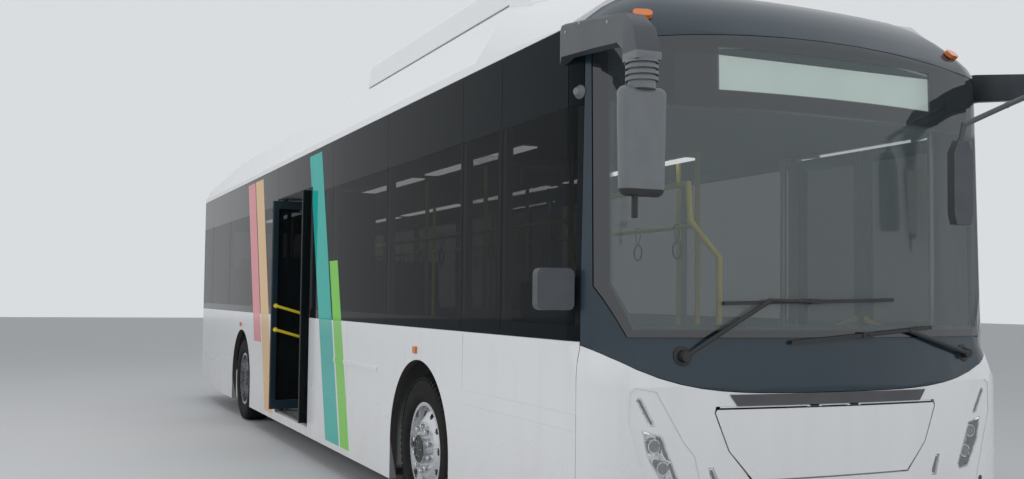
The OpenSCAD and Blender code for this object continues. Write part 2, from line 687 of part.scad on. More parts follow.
// Markers: columns distance from the nose, height
side_markers = [[front_overhang + 55, 1113], [rear_axle_at + 59, 1112]];
dome_marker = [966.4, 2798.4];           // Y and Z of the marker on the dome
dome_lift = 0.45;                        // sets the flat foot clear of the curved dome
dome_tilt = 49;
module marker_lamps() {
  color(AMBER) {
    both_sides() for (m = side_markers)
      block([behind(m[0]) - 28, -half_w - 14, m[1] - 22], [behind(m[0]) + 28, -half_w - seat_gap, m[1] + 22]);
    both_sides()
      translate([nose_front(dome_marker[0], dome_marker[1]) + dome_lift, -dome_marker[0], dome_marker[1]])
      rotate([0, dome_tilt, -17]) linear_extrude(22) {
        for (t = [-1, 1]) translate([0, t * 22]) circle(r = 26, $fn = 32);
        square([52, 44], center = true);
      }
  }
}

// Mirrors
mirror_y = half_w + 130;
mirror_head_z = 2083;
mirror_head_w = 210;
mirror_head_h = 430;
sleeve_r = 66;
mirror_x = nose_x + mirror_reach - sleeve_r;
// Arm sections: columns X, distance from the middle, height, half length, half width, half height
arm_rows = [[behind(430), half_w + 12, 2664, 24, 11.7, 82], [behind(330), half_w + 40, 2668, 20, 28, 74],
            [nose_x + 120, half_w + 84, 2606, 30, 36, 62], [mirror_x - 110, mirror_y - 10, 2560, 36, 44, 54],
            [mirror_x - 24, mirror_y, 2500, 42, 52, 38], [mirror_x, mirror_y, 2420, 54, 58, 16]];
module mirror_assembly() {
  // boxed arm from the foot on the side, folded bellows and head
  color(GREY) {
    for (i = [0:len(arm_rows) - 2]) hull() for (r = [arm_rows[i], arm_rows[i + 1]])
      translate([r[0], -r[1], r[2]]) cube([2 * r[3], 2 * r[4], 2 * r[5]], center = true);
    for (i = [0:3]) translate([mirror_x, -mirror_y, 2322 + 24 * i]) cylinder(h = 14, r = sleeve_r, $fn = 40);
    translate([mirror_x, -mirror_y, 2290]) cylinder(h = 120, r = 56, $fn = 40);
    hull() for (s = [-1, 1], t = [-1, 1])
      translate([mirror_x, -mirror_y + s * (mirror_head_w / 2 - 34 + 4 * t),
                 mirror_head_z + t * (mirror_head_h / 2 - 30)]) sphere(r = 34, $fn = 20);
    translate([mirror_x, -mirror_y - 30, mirror_head_z - mirror_head_h / 2 - 90])
      cylinder(h = 120, r = 13, $fn = 24);
  }
}
module mirror_right() {
  mirror_assembly();
}
module mirror_left() {
  mirror([0, 1, 0]) mirror_assembly();
}
// Kerb mirror before the left corner of the windscreen, hung on a bracket from the left mirror arm,
// low mirror beside the driver and the small camera above it
kerb_head = [nose_x + 165, 647, 2052];
kerb_inset = 3.6;        // the sloping inner face of the arm lies this much inside its widest section
kerb_foot = [arm_rows[2][0], arm_rows[2][1] - arm_rows[2][4] - kerb_inset, 2590];
kerb_arm = [kerb_head + [0, 0, 190], [kerb_head[0], kerb_head[1] + 30, 2350], [kerb_head[0] + 10, 960, 2470],
            kerb_foot - [0, 6, 0]];
kerb_arm_r = 14;
low_mirror = [behind(335), -1355, 1502];
low_mirror_foot = [behind(440), -half_w - seat_gap, 1490];
// Camera on the corner of the nose: direction seen from the corner's centre, height
side_camera = [69, 2432];
module small_mirrors() {
  color(GREY) {
    translate(kerb_head) rotate([90, 0, 90]) linear_extrude(46, center = true)
      polygon([[-46, -206], [46, -206], [62, -150], [62, 150], [30, 214], [-30, 214], [-62, 150], [-62, -150]]);
    for (i = [0:2]) bar(kerb_arm[i], kerb_arm[i + 1], kerb_arm_r);
    for (i = [1, 2]) translate(kerb_arm[i]) sphere(r = kerb_arm_r + 2, $fn = 24);
    translate(kerb_foot - [0, 6, 0]) cube([24, 12, 60], center = true);
    translate(low_mirror) rotate([90, 0, 90]) linear_extrude(54, center = true)
      offset(r = 30, $fn = 24) square([130, 135], center = true);
    translate(low_mirror_foot) rotate([90, 0, 0]) linear_extrude(12) square([60, 150], center = true);
    for (t = [-1, 1]) bar([low_mirror[0] - 20, low_mirror[1] + 40, low_mirror[2] + t * 55],
                          low_mirror_foot + [0, -10, t * 45], 10);
    let (row = row_at(side_camera[1]), yc = half_w - row[2] - row[3],
         xc = nose_x - row[1] - row[4] + sqrt(pow(row[4] - row[3], 2) - yc * yc), r = row[3] + seat_gap)
      translate([xc + r * cos(side_camera[0]), -yc - r * sin(side_camera[0]), side_camera[1]])
      rotate([0, 90, -side_camera[0]]) cylinder(h = 30, r1 = 34, r2 = 16, $fn = 40);
  }
}

// Wipers: pivot, elbow and blade ends as Y and Z
arm_off = 26;
blade_in = 7;            // distance of the blade's inner face from the glass
blade_out = 25;          // distance of its outer face
blade_half = 9;          // half of its height
module wiper(pivot, elbow, blade_a, blade_b) {
  function at(p, off) = [nose_front(p[0], p[1]) + off, p[0], p[1]];
  mid = (blade_a + blade_b) / 2;
  bar([nose_x - 140, pivot[0], pivot[1]], at(pivot, arm_off + 12), 24);
  bar(at(pivot, arm_off), at(elbow, arm_off + 4), 11);
  bar(at(elbow, arm_off + 4), at(mid, arm_off), 8);
  // the blade follows the bow of the glass
  intersection() {
    linear_extrude(2000) difference() {
      polygon(plan_at(mid[1], -blade_out));
      polygon(plan_at(mid[1], -blade_in));
    }
    along(behind(600), nose_x + 100)
      polygon([for (p = [[blade_a, -1], [blade_b, -1], [blade_b, 1], [blade_a, 1]]) p[0] + [0, p[1] * blade_half]]);
  }
  translate(at(mid, (blade_in + blade_out) / 2)) cube([26, 60, 26], center = true);
}
module wipers() {
  color(BLACK) difference() {
    union() {
      wiper([-820, 1200], [-380, 1462], [-620, 1445], [375, 1470]);
      wiper([925, 1198], [470, 1318], [-263, 1262], [650, 1332]);
    }
    nose_body(-seat_gap);
  }
}

// Floor, steps, wheel housings
housing_in = 560;
floor_front = 420;
stair_front = mid_door_back + 160;
tread = 280;
step_h = (deck_z - floor_z) / 3;
housing_top = axle_z + arch_r + 30;
housing_t = 20;
stand_h = 170;           // height of the driver's platform
// Stairs and raised deck behind them, in X and Z
module deck_drawing() {
  function nosing(i) = behind(stair_front + i * tread);
  polygon([[nosing(0), floor_z - floor_t], [nosing(0), floor_z + step_h], [nosing(1), floor_z + step_h],
           [nosing(1), floor_z + 2 * step_h], [nosing(2), floor_z + 2 * step_h], [nosing(2), deck_z],
           [rear_x + rear_clear, deck_z], [rear_x + rear_clear, deck_z - floor_t],
           [nosing(2) - floor_t, deck_z - floor_t], [nosing(2) - floor_t, floor_z + 2 * step_h - floor_t],
           [nosing(1) - floor_t, floor_z + 2 * step_h - floor_t], [nosing(1) - floor_t, floor_z + step_h - floor_t],
           [nosing(0) - floor_t, floor_z + step_h - floor_t], [nosing(0) - floor_t, floor_z - floor_t]]);
}
module floor_plate() {
  color(GREY) difference() {
    across(-half_w + wall_t, half_w - wall_t) {
      panel(behind(floor_front), floor_z - floor_t, behind(stair_front) + seat_gap, floor_z);
      deck_drawing();
    }
    both_sides() for (x = [front_axle_x, rear_axle_x])
      block([x - arch_r - 10, -half_w - 10, 0], [x + arch_r + 10, -housing_in, housing_top]);
  }
}
// Boxes over the wheels: columns axle, height of the floor that they stand on
wheel_boxes = [[front_axle_x, floor_z], [rear_axle_x, deck_z]];
module floor_boxes() {
  color(GREY) {
    both_sides() for (w = wheel_boxes) difference() {
      block([w[0] - arch_r - 10 - housing_t, -half_w + wall_t, w[1] + seat_gap],
            [w[0] + arch_r + 10 + housing_t, -housing_in + housing_t, housing_top]);
      block([w[0] - arch_r - 10, -half_w - 10, 0], [w[0] + arch_r + 10, -housing_in, housing_top - housing_t]);
    }
    // platform under the driver
    block([behind(1725), -half_w + wall_t, floor_z + seat_gap], [behind(cab_back), -440, floor_z + stand_h]);
  }
}
chassis_y = 430;         // distance of the long rails from the middle
rail_w = 60;
tow_r = 20;              // bore of the towing eyes
tow_t = 30;
tow_front = [behind(118), 224];
tow_rear = [rear_x + 95, 330];
rail_half = 30;          // half width of the long rails
frame_low = floor_z - floor_t - frame_depth;
frame_end = stair_front + 2 * tread + floor_t + 65;   // where the low frame meets the rear frame
rear_rail_z = 380;       // height of the lower rails that carry the engine
panel_arm_z = 360;       // height of the arms behind the bumper panel
low_tubes = [210, 460, 1150, front_overhang - 680, front_overhang + 670, 3950, mid_door_front - 830,
             mid_door_front - 80, mid_door_back - 720, mid_door_back + 40];
high_tubes = [stair_front + 620, rear_axle_at - 550, rear_axle_at + 590, body_len - 1800, body_len - 1000,
              body_len - 150];
// Towing eye plate on a rail, with its bore across the bus and a root that reaches to the rail
module tow_eye(place, root) {
  across(-chassis_y - tow_t / 2, -chassis_y + tow_t / 2) difference() {
    union() {
      panel(place[0] + root[0], place[1] + root[1], place[0] + root[2], place[1] + root[3]);
      translate(place) circle(r = 45, $fn = 48);
    }
    translate(place) circle(r = tow_r, $fn = 48);
  }
}
// Low frame: long rails and cross tubes
module underframe() {
  color(BLACK) {
    both_sides() {
      tow_eye(tow_front, [-80, -14, 0, 45]);
      // upright on the rail and arm that carry the bumper panel
      across(-chassis_y, -chassis_y + 12)
        panel(behind(240), frame_low + frame_depth + seat_gap, behind(185), panel_arm_z + 50);
      intersection() {
        across(-chassis_y, -chassis_y + 12) panel(behind(240), panel_arm_z, nose_x, panel_arm_z + 50);
        linear_extrude(panel_low_z + 400) polygon(plan_at(1000, nose_t + seat_gap));
      }
    }
    difference() {
      union() {
        both_sides() block([behind(frame_end - 60) + seat_gap, -chassis_y - rail_half, frame_low],
                           [behind(180), -chassis_y + rail_half, frame_low + frame_depth]);
        for (d = low_tubes) let (reach = d < joint_back ? chassis_y : half_w - wall_t)
          block([behind(d) - 30, -reach, frame_low], [behind(d) + 30, reach, frame_low + frame_depth]);
      }
      both_sides() block([front_axle_x - arch_r - 10, -half_w, frame_low - 10],
                         [front_axle_x + arch_r + 10, -housing_in - 5, frame_low + 100]);
    }
  }
}
// Rear frame on a higher level, joined to the low frame by uprights
module rear_frame() {
  top = deck_z - floor_t;
  engine_front = rear_axle_x - 750;
  color(BLACK) {
    both_sides() {
      tow_eye(tow_rear, [-45, 0, 45, 100]);
      across(-chassis_y - rail_half, -chassis_y + rail_half) {
        panel(rear_x + rear_clear, top - frame_depth, behind(frame_end - 60), top);
        panel(behind(frame_end), frame_low, behind(frame_end - 60), top);
        panel(rear_x + rear_clear, rear_rail_z, engine_front, rear_rail_z + frame_depth);
        for (x = [engine_front - 60, (engine_front + rear_x + rear_clear) / 2 - 30, rear_x + rear_clear])
          panel(x, rear_rail_z, x + 60, top);
      }
    }
    for (d = high_tubes)
      block([behind(d) - 25, -half_w + wall_t, top - frame_depth], [behind(d) + 25, half_w - wall_t, top]);
  }
}
module drive_pack() {
  color(GREY) block([rear_x + 400, -380, 450],
                    [rear_axle_x - 1050, 380, deck_z - floor_t - frame_depth - seat_gap]);
}

// Axles
beam_t = 84;             // thickness of the front axle beam
half_shaft_r = 45;
shaft_end = half_w - 80;
module front_axle() {
  color(BLACK) {
    // dropped beam, lower in the middle so that the floor passes over it
    flat_z = floor_z - floor_t - frame_depth - seat_gap;
    inner = kingpin_half - 75;
    along(front_axle_x - beam_t / 2, front_axle_x + beam_t / 2) polygon(concat(
      [[-inner, axle_z - 90], [-inner, axle_z + 90], [-inner + 60, axle_z + 90], [-570, flat_z], [570, flat_z],
       [inner - 60, axle_z + 90], [inner, axle_z + 90], [inner, axle_z - 90], [600, 120], [-600, 120]]));
    both_sides() {
      translate([front_axle_x, -kingpin_half, axle_z - 90]) cylinder(h = 180, r = 24, $fn = 32);
      for (z = [axle_z - 90, axle_z + 66])
        block([front_axle_x - beam_t / 2, -kingpin_half - 20, z], [front_axle_x + beam_t / 2, -inner + 5, z + 24]);
    }
  }
}
// Casing, gear case and half shafts: columns half length, radius
axle_tubes = [[760, 80], [150, 165], [shaft_end, half_shaft_r]];
module rear_axle() {
  color(BLACK) {
    for (t = axle_tubes) translate([rear_axle_x, 0, axle_z]) rotate([90, 0, 0])
      cylinder(h = 2 * t[0], r = t[1], $fn = 48, center = true);
    both_sides() block([rear_axle_x - 60, -chassis_y - 40, axle_z + 20],
                       [rear_axle_x + 60, -chassis_y + 40, deck_z - floor_t - frame_depth - seat_gap]);
  }
}
// Steering knuckle of the right side: yoke on the kingpin and stub axle
module knuckle() {
  color(STEEL) translate([front_axle_x, -kingpin_half, axle_z]) {
    difference() {
      union() {
        translate([0, 0, -60]) cylinder(h = 120, r = 50, $fn = 40);
        rotate([90, 0, 0]) cylinder(h = stub_end - kingpin_half, r = stub_r, $fn = 40);
      }
      translate([0, 0, -70]) cylinder(h = 140, r = 24 + running, $fn = 40);
    }
    block([-230, -20, -50], [-45, 14, -20]);
  }
}
module knuckle_right() {
  knuckle();
}
module knuckle_left() {
  mirror([0, 1, 0]) knuckle();
}

// Wheels, drawn with the axis along Z and the outer side up, then turned
rim_half = 116;          // half of the rim's width over its flanges
flange_t = 8;
seat_r = rim_r - 12;     // radius that the tyre's bead sits on
rim_t = 12;
bolt_circle = 142;
disc_t = 14;
nut_count = 10;
// Rim and disc: face is the height of the disc's flat above the middle of the tyre
module disc_wheel(face) {
  dish = face > 0 ? -1 : 1;
  rotate_extrude($fn = 96) polygon([
    [seat_r - rim_t, -rim_half], [rim_r, -rim_half], [rim_r, -rim_half + flange_t], [seat_r, -rim_half + flange_t],
    [seat_r, rim_half - flange_t], [rim_r, rim_half - flange_t], [rim_r, rim_half], [seat_r - rim_t, rim_half],
    [seat_r - rim_t, face + dish * 50]]);
  difference() {
    rotate_extrude($fn = 96) polygon([
      [seat_r - rim_t + 2, face + dish * 52], [seat_r - rim_t + 2, face + dish * 84],
      [185, face + dish * (disc_t + 4)], [86, face + dish * disc_t], [86, face], [176, face],
      [200, face + dish * 12]]);
    for (i = [0:nut_count - 1]) rotate([0, 0, 360 * i / nut_count])
      translate([226, 0, face - 90]) cylinder(h = 180, r = 24, $fn = 24);
  }
}
module nuts(face, up) {
  for (i = [0:nut_count - 1]) rotate([0, 0, 360 * (i + 0.5) / nut_count])
    translate([bolt_circle, 0, up > 0 ? face - 1 : face - 30]) cylinder(h = 31, r = 16, $fn = 12);
}
module tyre(mid) {
  side = tyre_w / 2;
  bead = rim_half - flange_t - seat_gap;
  half = [[seat_r + seat_gap, bead], [rim_r + seat_gap, bead], [rim_r + 14, side - 14], [rim_r + 60, side],
          [tyre_r - 60, side - 3], [tyre_r - 22, side - 12], [tyre_r - 7, side - 30], [tyre_r, side - 70]];
  translate([0, 0, mid]) rotate_extrude($fn = 96)
    polygon(concat(half, [for (i = [len(half) - 1:-1:0]) [half[i][0], -half[i][1]]]));
}
// Places a wheel drawn with its outer side up on the right side of the bus
module at_wheel(x, y) {
  translate([x, -y, axle_z]) rotate([90, 0, 0]) children();
}
front_face = 118;
stub_r = 42;
stub_end = half_w - 70;
hub_r = 95;
running = 0.05;          // radial clearance of a shaft in its bore
module front_wheel() {
  color(STEEL) at_wheel(front_axle_x, track_half) difference() {
    union() {
      disc_wheel(front_face);
      nuts(front_face, 1);
      translate([0, 0, -60]) cylinder(h = front_face + 100, r = hub_r, $fn = 64);
    }
    translate([0, 0, -70]) cylinder(h = stub_end - track_half + 75, r = stub_r + running, $fn = 64);
  }
}
module front_tyre() {
  color(BLACK) at_wheel(front_axle_x, track_half) tyre(0);
}
twin_outer = 1085;       // middle of the outer rear tyre
twin_gap = 318;          // distance between the middles of twin tyres
module rear_wheels() {
  face = -twin_gap / 2 + disc_t;
  color(STEEL) at_wheel(rear_axle_x, twin_outer) difference() {
    union() {
      disc_wheel(face);
      translate([0, 0, -twin_gap]) mirror([0, 0, 1]) disc_wheel(face - 1);
      translate([0, 0, -twin_gap / 2]) cylinder(h = 2 * disc_t, r = 176, $fn = 64, center = true);
      nuts(face, 1);
      translate([0, 0, -290]) cylinder(h = 396, r = hub_r, $fn = 64);
    }
    translate([0, 0, -300]) cylinder(h = shaft_end - twin_outer + 305, r = half_shaft_r + running, $fn = 64);
  }
}
module rear_tyres() {
  color(BLACK) at_wheel(rear_axle_x, twin_outer) {
    tyre(0);
    tyre(-twin_gap);
  }
}

// Doors: two leaves on turning posts, each leaf carried at its top and bottom edge by an arm
post_r = 22;
post_in = 50;            // the post stands this far behind the edge of the doorway
leaf_off = 50;           // distance of an open leaf's middle from the edge of the doorway
jamb_gap = 5;
centre_gap = 12;
pin_line = half_w - leaf_t / 2;
post_y = post_in + leaf_off;
leaf_low_z = floor_z + 24;
leaf_top_z = door_top_z - 22;
function leaf_w(door_w) = door_w / 2 - jamb_gap - centre_gap;
function arm_q(door_w) = (leaf_w(door_w) + post_in + jamb_gap - post_y - leaf_stands_out) / 2;
function arm_r(door_w) = sqrt(pow(arm_q(door_w), 2) + pow(post_y, 2));
function pin_to_jamb(door_w) = arm_q(door_w) - post_in - jamb_gap;

// Post and arms with the post's axis at the origin, the closed arm towards +X, the inside towards +Y
module door_post(door_w, turned) {
  q = arm_q(door_w);
  color(STEEL) rotate([0, 0, turned]) {
    translate([0, 0, floor_z + seat_gap]) cylinder(h = ceiling_z - floor_z - 2 * seat_gap, r = post_r, $fn = 32);
    for (z = [leaf_low_z - 18, leaf_top_z + 4]) {
      translate([0, 0, z]) linear_extrude(14) difference() {
        union() {
          polygon([[0, -14], [q, -post_y - 14], [q, -post_y + 14], [0, 14]]);
          circle(r = 30, $fn = 32);
          translate([q, -post_y]) circle(r = 18, $fn = 32);
        }
      }
    }
    translate([q, -post_y, leaf_low_z - 5]) cylinder(h = 35, r = 8, $fn = 24);
    translate([q, -post_y, leaf_top_z - 30]) cylinder(h = 35, r = 8, $fn = 24);
  }
}
// Leaf with the pin's axis at the origin, the centre edge towards +X, the inside towards +Y
module door_leaf(door_w) {
  a = pin_to_jamb(door_w);
  b = leaf_w(door_w) - a;
  stile = 55;
  color(MASK) difference() {
    union() {
      difference() {
        block([-a, -leaf_t / 2, leaf_low_z], [b, leaf_t / 2, leaf_top_z]);
        block([-a + stile, -leaf_t, leaf_low_z + 90], [b - stile, leaf_t, leaf_top_z - 80]);
      }
      block([-a + 4, -leaf_t / 2, leaf_low_z + 4], [b - 4, -leaf_t / 2 + 6, leaf_top_z - 4]);
    }
    for (z = [leaf_low_z - 1, leaf_top_z - 40]) translate([0, 0, z]) cylinder(h = 41, r = 8.05, $fn = 32);
  }
  color(YELLOW) for (z = [1000, 1240]) bar([-a + 40, 32, z - 60], [b - 40, 32, z + 110], 15);
}
// Places a door part: side -1 right or 1 left, jamb the distance of the edge from the nose,
// way 1 when the leaf runs forward from its jamb, open 1 for an open door
module at_post(side, jamb, way) {
  translate([behind(jamb) - way * post_in, side * (pin_line - post_y), 0])
    mirror([way < 0 ? 1 : 0, 0, 0]) mirror([0, side > 0 ? 1 : 0, 0]) children();
}
module post_at(side, jamb, way, door_w, open) {
  at_post(side, jamb, way) door_post(door_w, open ? 90 : 0);
}
module leaf_at(side, jamb, way, door_w, open) {
  q = arm_q(door_w);
  at_post(side, jamb, way)
    translate(open ? [post_y, q, 0] : [q, -post_y, 0]) rotate([0, 0, open ? -90 : 0]) door_leaf(door_w);
}

// Inside
module dashboard() {
  color(BLACK) difference() {
    intersection() {
      across(-1150, dash_left)
        polygon([[behind(120), 900], [behind(60), 1200], [behind(60), 1235], [behind(420), 1180],
                 [behind(560), 1060], [behind(540), 960], [behind(420), 900]]);
      translate([0, 0, 800]) linear_extrude(600) polygon(plan_at(1235, nose_t + 2 * seat_gap));
    }
    // the head lamps' housings and the steering column pass through
    both_sides() block([behind(0), -1120, 800], [behind(330), -780, 1130]);
    at_steering() translate([0, 0, -column_len - seat_gap])
      cylinder(h = column_len, r = column_r + seat_gap, $fn = 24);
  }
}
driver_y = -720;
dash_left = 620;
column_r = 30;
column_len = 200;
module at_steering() {
  translate([behind(640), driver_y, 1150]) rotate([0, -28, 0]) children();
}
module steering_wheel() {
  color(BLACK) at_steering() {
    rotate_extrude($fn = 48) translate([225, 0]) circle(r = 15, $fn = 16);
    cylinder(h = 24, r = 60, $fn = 32, center = true);
    for (a = [0, 120, 240]) rotate([0, 0, a]) translate([50, -14, -6]) cube([165, 28, 12]);
    translate([0, 0, -column_len]) cylinder(h = column_len - 5, r = column_r, $fn = 24);
  }
}
// Cushion and back of a seat, drawn in X and Z with the cushion's front edge at the origin, facing +X
cushion_t = 60;
module cushion_drawing() {
  polygon([[0, 0], [-420, -20], [-432, -cushion_t], [0, -cushion_t]]);
}
module back_drawing(back_h) {
  polygon([[-420 - seat_gap, -20], [-520, back_h], [-560, back_h], [-500, -cushion_t],
           [-432 - seat_gap, -cushion_t]]);
}
driver_seat_at = [behind(1020), driver_y, 850];
module driver_seat() {
  color(BLUE) translate(driver_seat_at) {
    across(-240, 240) cushion_drawing();
    across(-240, 240) back_drawing(700);
  }
  color(BLACK) translate(driver_seat_at)
    block([-420, -180, floor_z + stand_h + seat_gap - driver_seat_at[2]], [-40, 180, -cushion_t - seat_gap]);
}
module driver_screen() {
  color(SMOKED) block([behind(screen_back), -half_w + wall_t + seat_gap, floor_z + seat_gap],
                      [behind(screen_back - 30), -260, 2300]);
}
screen_back = 1760;      // rear face of the screen behind the driver
// Rows of seats: columns distance of the front edge from the nose, height they stand on, height of the cushion
bench_at = body_len - 750;
row_pitch = 800;
seat_rows = concat([for (d = [rear_axle_at - 550, rear_axle_at + 40]) [d, housing_top, 180]],
                   [for (d = [rear_axle_at + 1000:row_pitch:bench_at - 600]) [d, deck_z, 440]]);
seat_w = 400;
// A row of seats with their middles at the places ys, on one cushion and a pedestal from y0 to y1
module seat_row(row, ys, y0, y1) {
  translate([behind(row[0]), 0, row[1] + row[2]]) {
    across(min(ys) - seat_w / 2, max(ys) + seat_w / 2) cushion_drawing();
    for (y = ys) across(y - seat_w / 2, y + seat_w / 2) back_drawing(640);
    block([-300, y0, seat_gap - row[2]], [-130, y1, -cushion_t - seat_gap]);
  }
}
module passenger_seats() {
  color(BLUE) {
    both_sides() for (r = seat_rows) seat_row(r, [-975, -560], -1100, -620);
    seat_row([bench_at, deck_z, 440], [-920, -460, 0, 460, 920], -1100, 1100);
  }
}
grab_y = 470;
rail_r = 17;
elbow_r = 19;
rail_z = 1950;
// Distances of the poles from the nose, on the low floor and on the deck
low_poles = [1900, 3300, mid_door_front - 930, mid_door_back + 100];
high_poles = [for (d = [rear_axle_at + 1000:row_pitch:bench_at - 600]) d - 120];
poles = concat(low_poles, high_poles);   // from the front
// Bent rail beside the driver as Y and Z, and the distance of its plane from the nose
cab_rail = [[-187, floor_z + seat_gap], [-187, 1687], [-372, 1880], [-386, 2075]];
cab_rail_back = 700;
// Rail on the rear face of the driver's screen as Y and Z
screen_rail = [[-925, 1375], [-1003, 1375], [-1003, 2255], [-595, 2255]];
screen_drops = [-866, -664];             // short bars that hang from it
drop_len = 115;
module rail_path(points, back) {
  for (i = [0:len(points) - 2])
    bar([behind(back), points[i][0], points[i][1]], [behind(back), points[i + 1][0], points[i + 1][1]], rail_r);
  for (p = points) if (p[1] > floor_z + 1) translate([behind(back), p[0], p[1]]) sphere(r = elbow_r, $fn = 24);
}
module handrails() {
  color(YELLOW) {
    both_sides() {
      // lengths of rail between the poles
      for (i = [1:len(poles) - 1])
        bar([behind(poles[i] - rail_r) + seat_gap, -grab_y, rail_z],
            [behind(poles[i - 1] + rail_r) - seat_gap, -grab_y, rail_z], rail_r);
      for (d = low_poles)
        bar([behind(d), -grab_y, floor_z + seat_gap], [behind(d), -grab_y, ceiling_z - seat_gap], rail_r);
      for (d = high_poles)
        bar([behind(d), -grab_y, deck_z + seat_gap], [behind(d), -grab_y, ceiling_z - seat_gap], rail_r);
      bar([behind(front_overhang - 40), -700, housing_top + seat_gap],
          [behind(front_overhang - 40), -700, ceiling_z - seat_gap], rail_r);
    }
    rail_path(screen_rail, screen_back + elbow_r + seat_gap);
    for (y = screen_drops) translate([behind(screen_back + elbow_r + seat_gap), y, screen_rail[3][1] - drop_len])
      cylinder(h = drop_len, r = 9, $fn = 24);
    rail_path(cab_rail, cab_rail_back);
    // from the bent rail back to the screen
    bar([behind(cab_rail_back), cab_rail[3][0], cab_rail[3][1]],
        [behind(screen_back - 30) + seat_gap, cab_rail[3][0], cab_rail[3][1]], rail_r);
  }
}
module destination_sign() {
  color(BLACK) {
    block([behind(150), -760, 2410], [behind(250), 760, 2640]);
    both_sides() block([behind(cab_back) + seat_gap, -620, ceiling_z], [behind(240), -580, ceiling_z + 60]);
  }
}

underframe();
rear_frame();
floor_plate();  // floor
floor_boxes();
side_wall_right();
side_wall_left();
roof_shell();
roof_units();
front_mask();
front_panel();
front_flap();
front_trim();
windscreen();
side_windows();
rear_wall();
rear_window();
rear_lid();
head_lamps();
lamp_lenses();
marker_lamps();
rear_lamps();
mirror_right();
mirror_left();
small_mirrors();
wipers();
dashboard();
steering_wheel();
driver_seat();
driver_screen();
passenger_seats();
handrails();
destination_sign();
drive_pack();
front_axle();
rear_axle();
knuckle_right();
knuckle_left();
front_wheel();  // front_wheel_right
mirror([0, 1, 0]) front_wheel();  // front_wheel_left
front_tyre();  // front_tyre_right
mirror([0, 1, 0]) front_tyre();  // front_tyre_left
rear_wheels();  // rear_wheels_right
mirror([0, 1, 0]) rear_wheels();  // rear_wheels_left
rear_tyres();  // rear_tyres_right
mirror([0, 1, 0]) rear_tyres();  // rear_tyres_left
post_at(-1, mid_door_back, 1, mid_door_w, true);  // post_right_mid_rear
post_at(-1, mid_door_front, -1, mid_door_w, true);  // post_right_mid_front
post_at(1, mid_door_back, 1, mid_door_w, false);  // post_left_mid_rear
post_at(1, mid_door_front, -1, mid_door_w, false);  // post_left_mid_front
post_at(1, front_door_back, 1, front_door_w, false);  // post_left_entry_rear
post_at(1, front_door_front, -1, front_door_w, false);  // post_left_entry_front
leaf_at(-1, mid_door_back, 1, mid_door_w, true);  // leaf_right_mid_rear
leaf_at(-1, mid_door_front, -1, mid_door_w, true);  // leaf_right_mid_front
leaf_at(1, mid_door_back, 1, mid_door_w, false);  // leaf_left_mid_rear
leaf_at(1, mid_door_front, -1, mid_door_w, false);  // leaf_left_mid_front
leaf_at(1, front_door_back, 1, front_door_w, false);  // leaf_left_entry_rear
leaf_at(1, front_door_front, -1, front_door_w, false);  // leaf_left_entry_front
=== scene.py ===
# %% [markdown]
# # Airport passenger bus
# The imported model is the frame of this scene: a body shell on its underframe, glass, doors, wheels and seats.
# Each cell below dresses one part of it. Lengths are in metres, +X is forward, +Y is the bus's left side
# and the tyres stand on Z = 0.

# %% Load the frame
import json
import math

import bmesh
import bpy
from mathutils import Matrix, Vector
from mathutils.bvhtree import BVHTree

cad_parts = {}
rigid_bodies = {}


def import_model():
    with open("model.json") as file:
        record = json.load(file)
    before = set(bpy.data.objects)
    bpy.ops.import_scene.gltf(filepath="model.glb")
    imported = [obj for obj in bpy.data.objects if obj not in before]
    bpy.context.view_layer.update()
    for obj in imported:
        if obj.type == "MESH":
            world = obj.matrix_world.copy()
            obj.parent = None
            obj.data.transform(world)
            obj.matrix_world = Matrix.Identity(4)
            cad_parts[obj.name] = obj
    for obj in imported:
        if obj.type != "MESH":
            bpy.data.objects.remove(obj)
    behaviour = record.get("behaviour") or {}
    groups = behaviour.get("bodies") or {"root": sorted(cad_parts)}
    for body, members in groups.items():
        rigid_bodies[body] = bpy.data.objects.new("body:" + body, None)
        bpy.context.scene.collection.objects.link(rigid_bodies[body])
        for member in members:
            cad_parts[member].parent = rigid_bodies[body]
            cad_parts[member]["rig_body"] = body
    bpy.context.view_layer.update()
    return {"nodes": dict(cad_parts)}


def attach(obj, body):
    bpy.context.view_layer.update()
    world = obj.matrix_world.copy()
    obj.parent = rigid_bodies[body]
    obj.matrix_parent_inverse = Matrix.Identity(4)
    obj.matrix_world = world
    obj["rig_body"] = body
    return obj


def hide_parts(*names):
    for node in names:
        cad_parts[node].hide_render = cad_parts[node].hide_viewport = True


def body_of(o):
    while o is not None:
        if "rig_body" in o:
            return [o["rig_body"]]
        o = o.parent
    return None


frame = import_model()
nodes = frame["nodes"]
NOSE = 5.72               # place of the foremost point, from which lengths along the bus are counted
AXLES = {"front": 3.19, "rear": -3.13}
HUB_Z = 0.478             # height of the wheels' axes above the ground
SIDES = (("right", -1), ("left", 1))

# %% [markdown]
# ## Camera
# The photograph was taken at eye height near the right front corner. The lens, the place and the three turns
# come from a fit of known edges of the bus to their places in the picture, so the render can be laid over it.

# %% Camera
PICTURE = (1024, 479)     # size of the photograph in pixels
LENS_PX = 1096.6          # focal length in those pixels
CENTRE_PX = (509.0, 245.5)
SENSOR = 36               # width of the sensor in millimetres
EYE = (9.9548, -3.5966, 1.4599)
YAW, PITCH, ROLL = (math.radians(a) for a in (23.78, 2.72, -0.66))

ahead = Vector((-math.cos(YAW) * math.cos(PITCH), math.sin(YAW) * math.cos(PITCH), math.sin(PITCH)))
level = Vector((math.sin(YAW), math.cos(YAW), 0))
upright = level.cross(ahead)
right = level * math.cos(ROLL) - upright * math.sin(ROLL)
up = upright * math.cos(ROLL) + level * math.sin(ROLL)

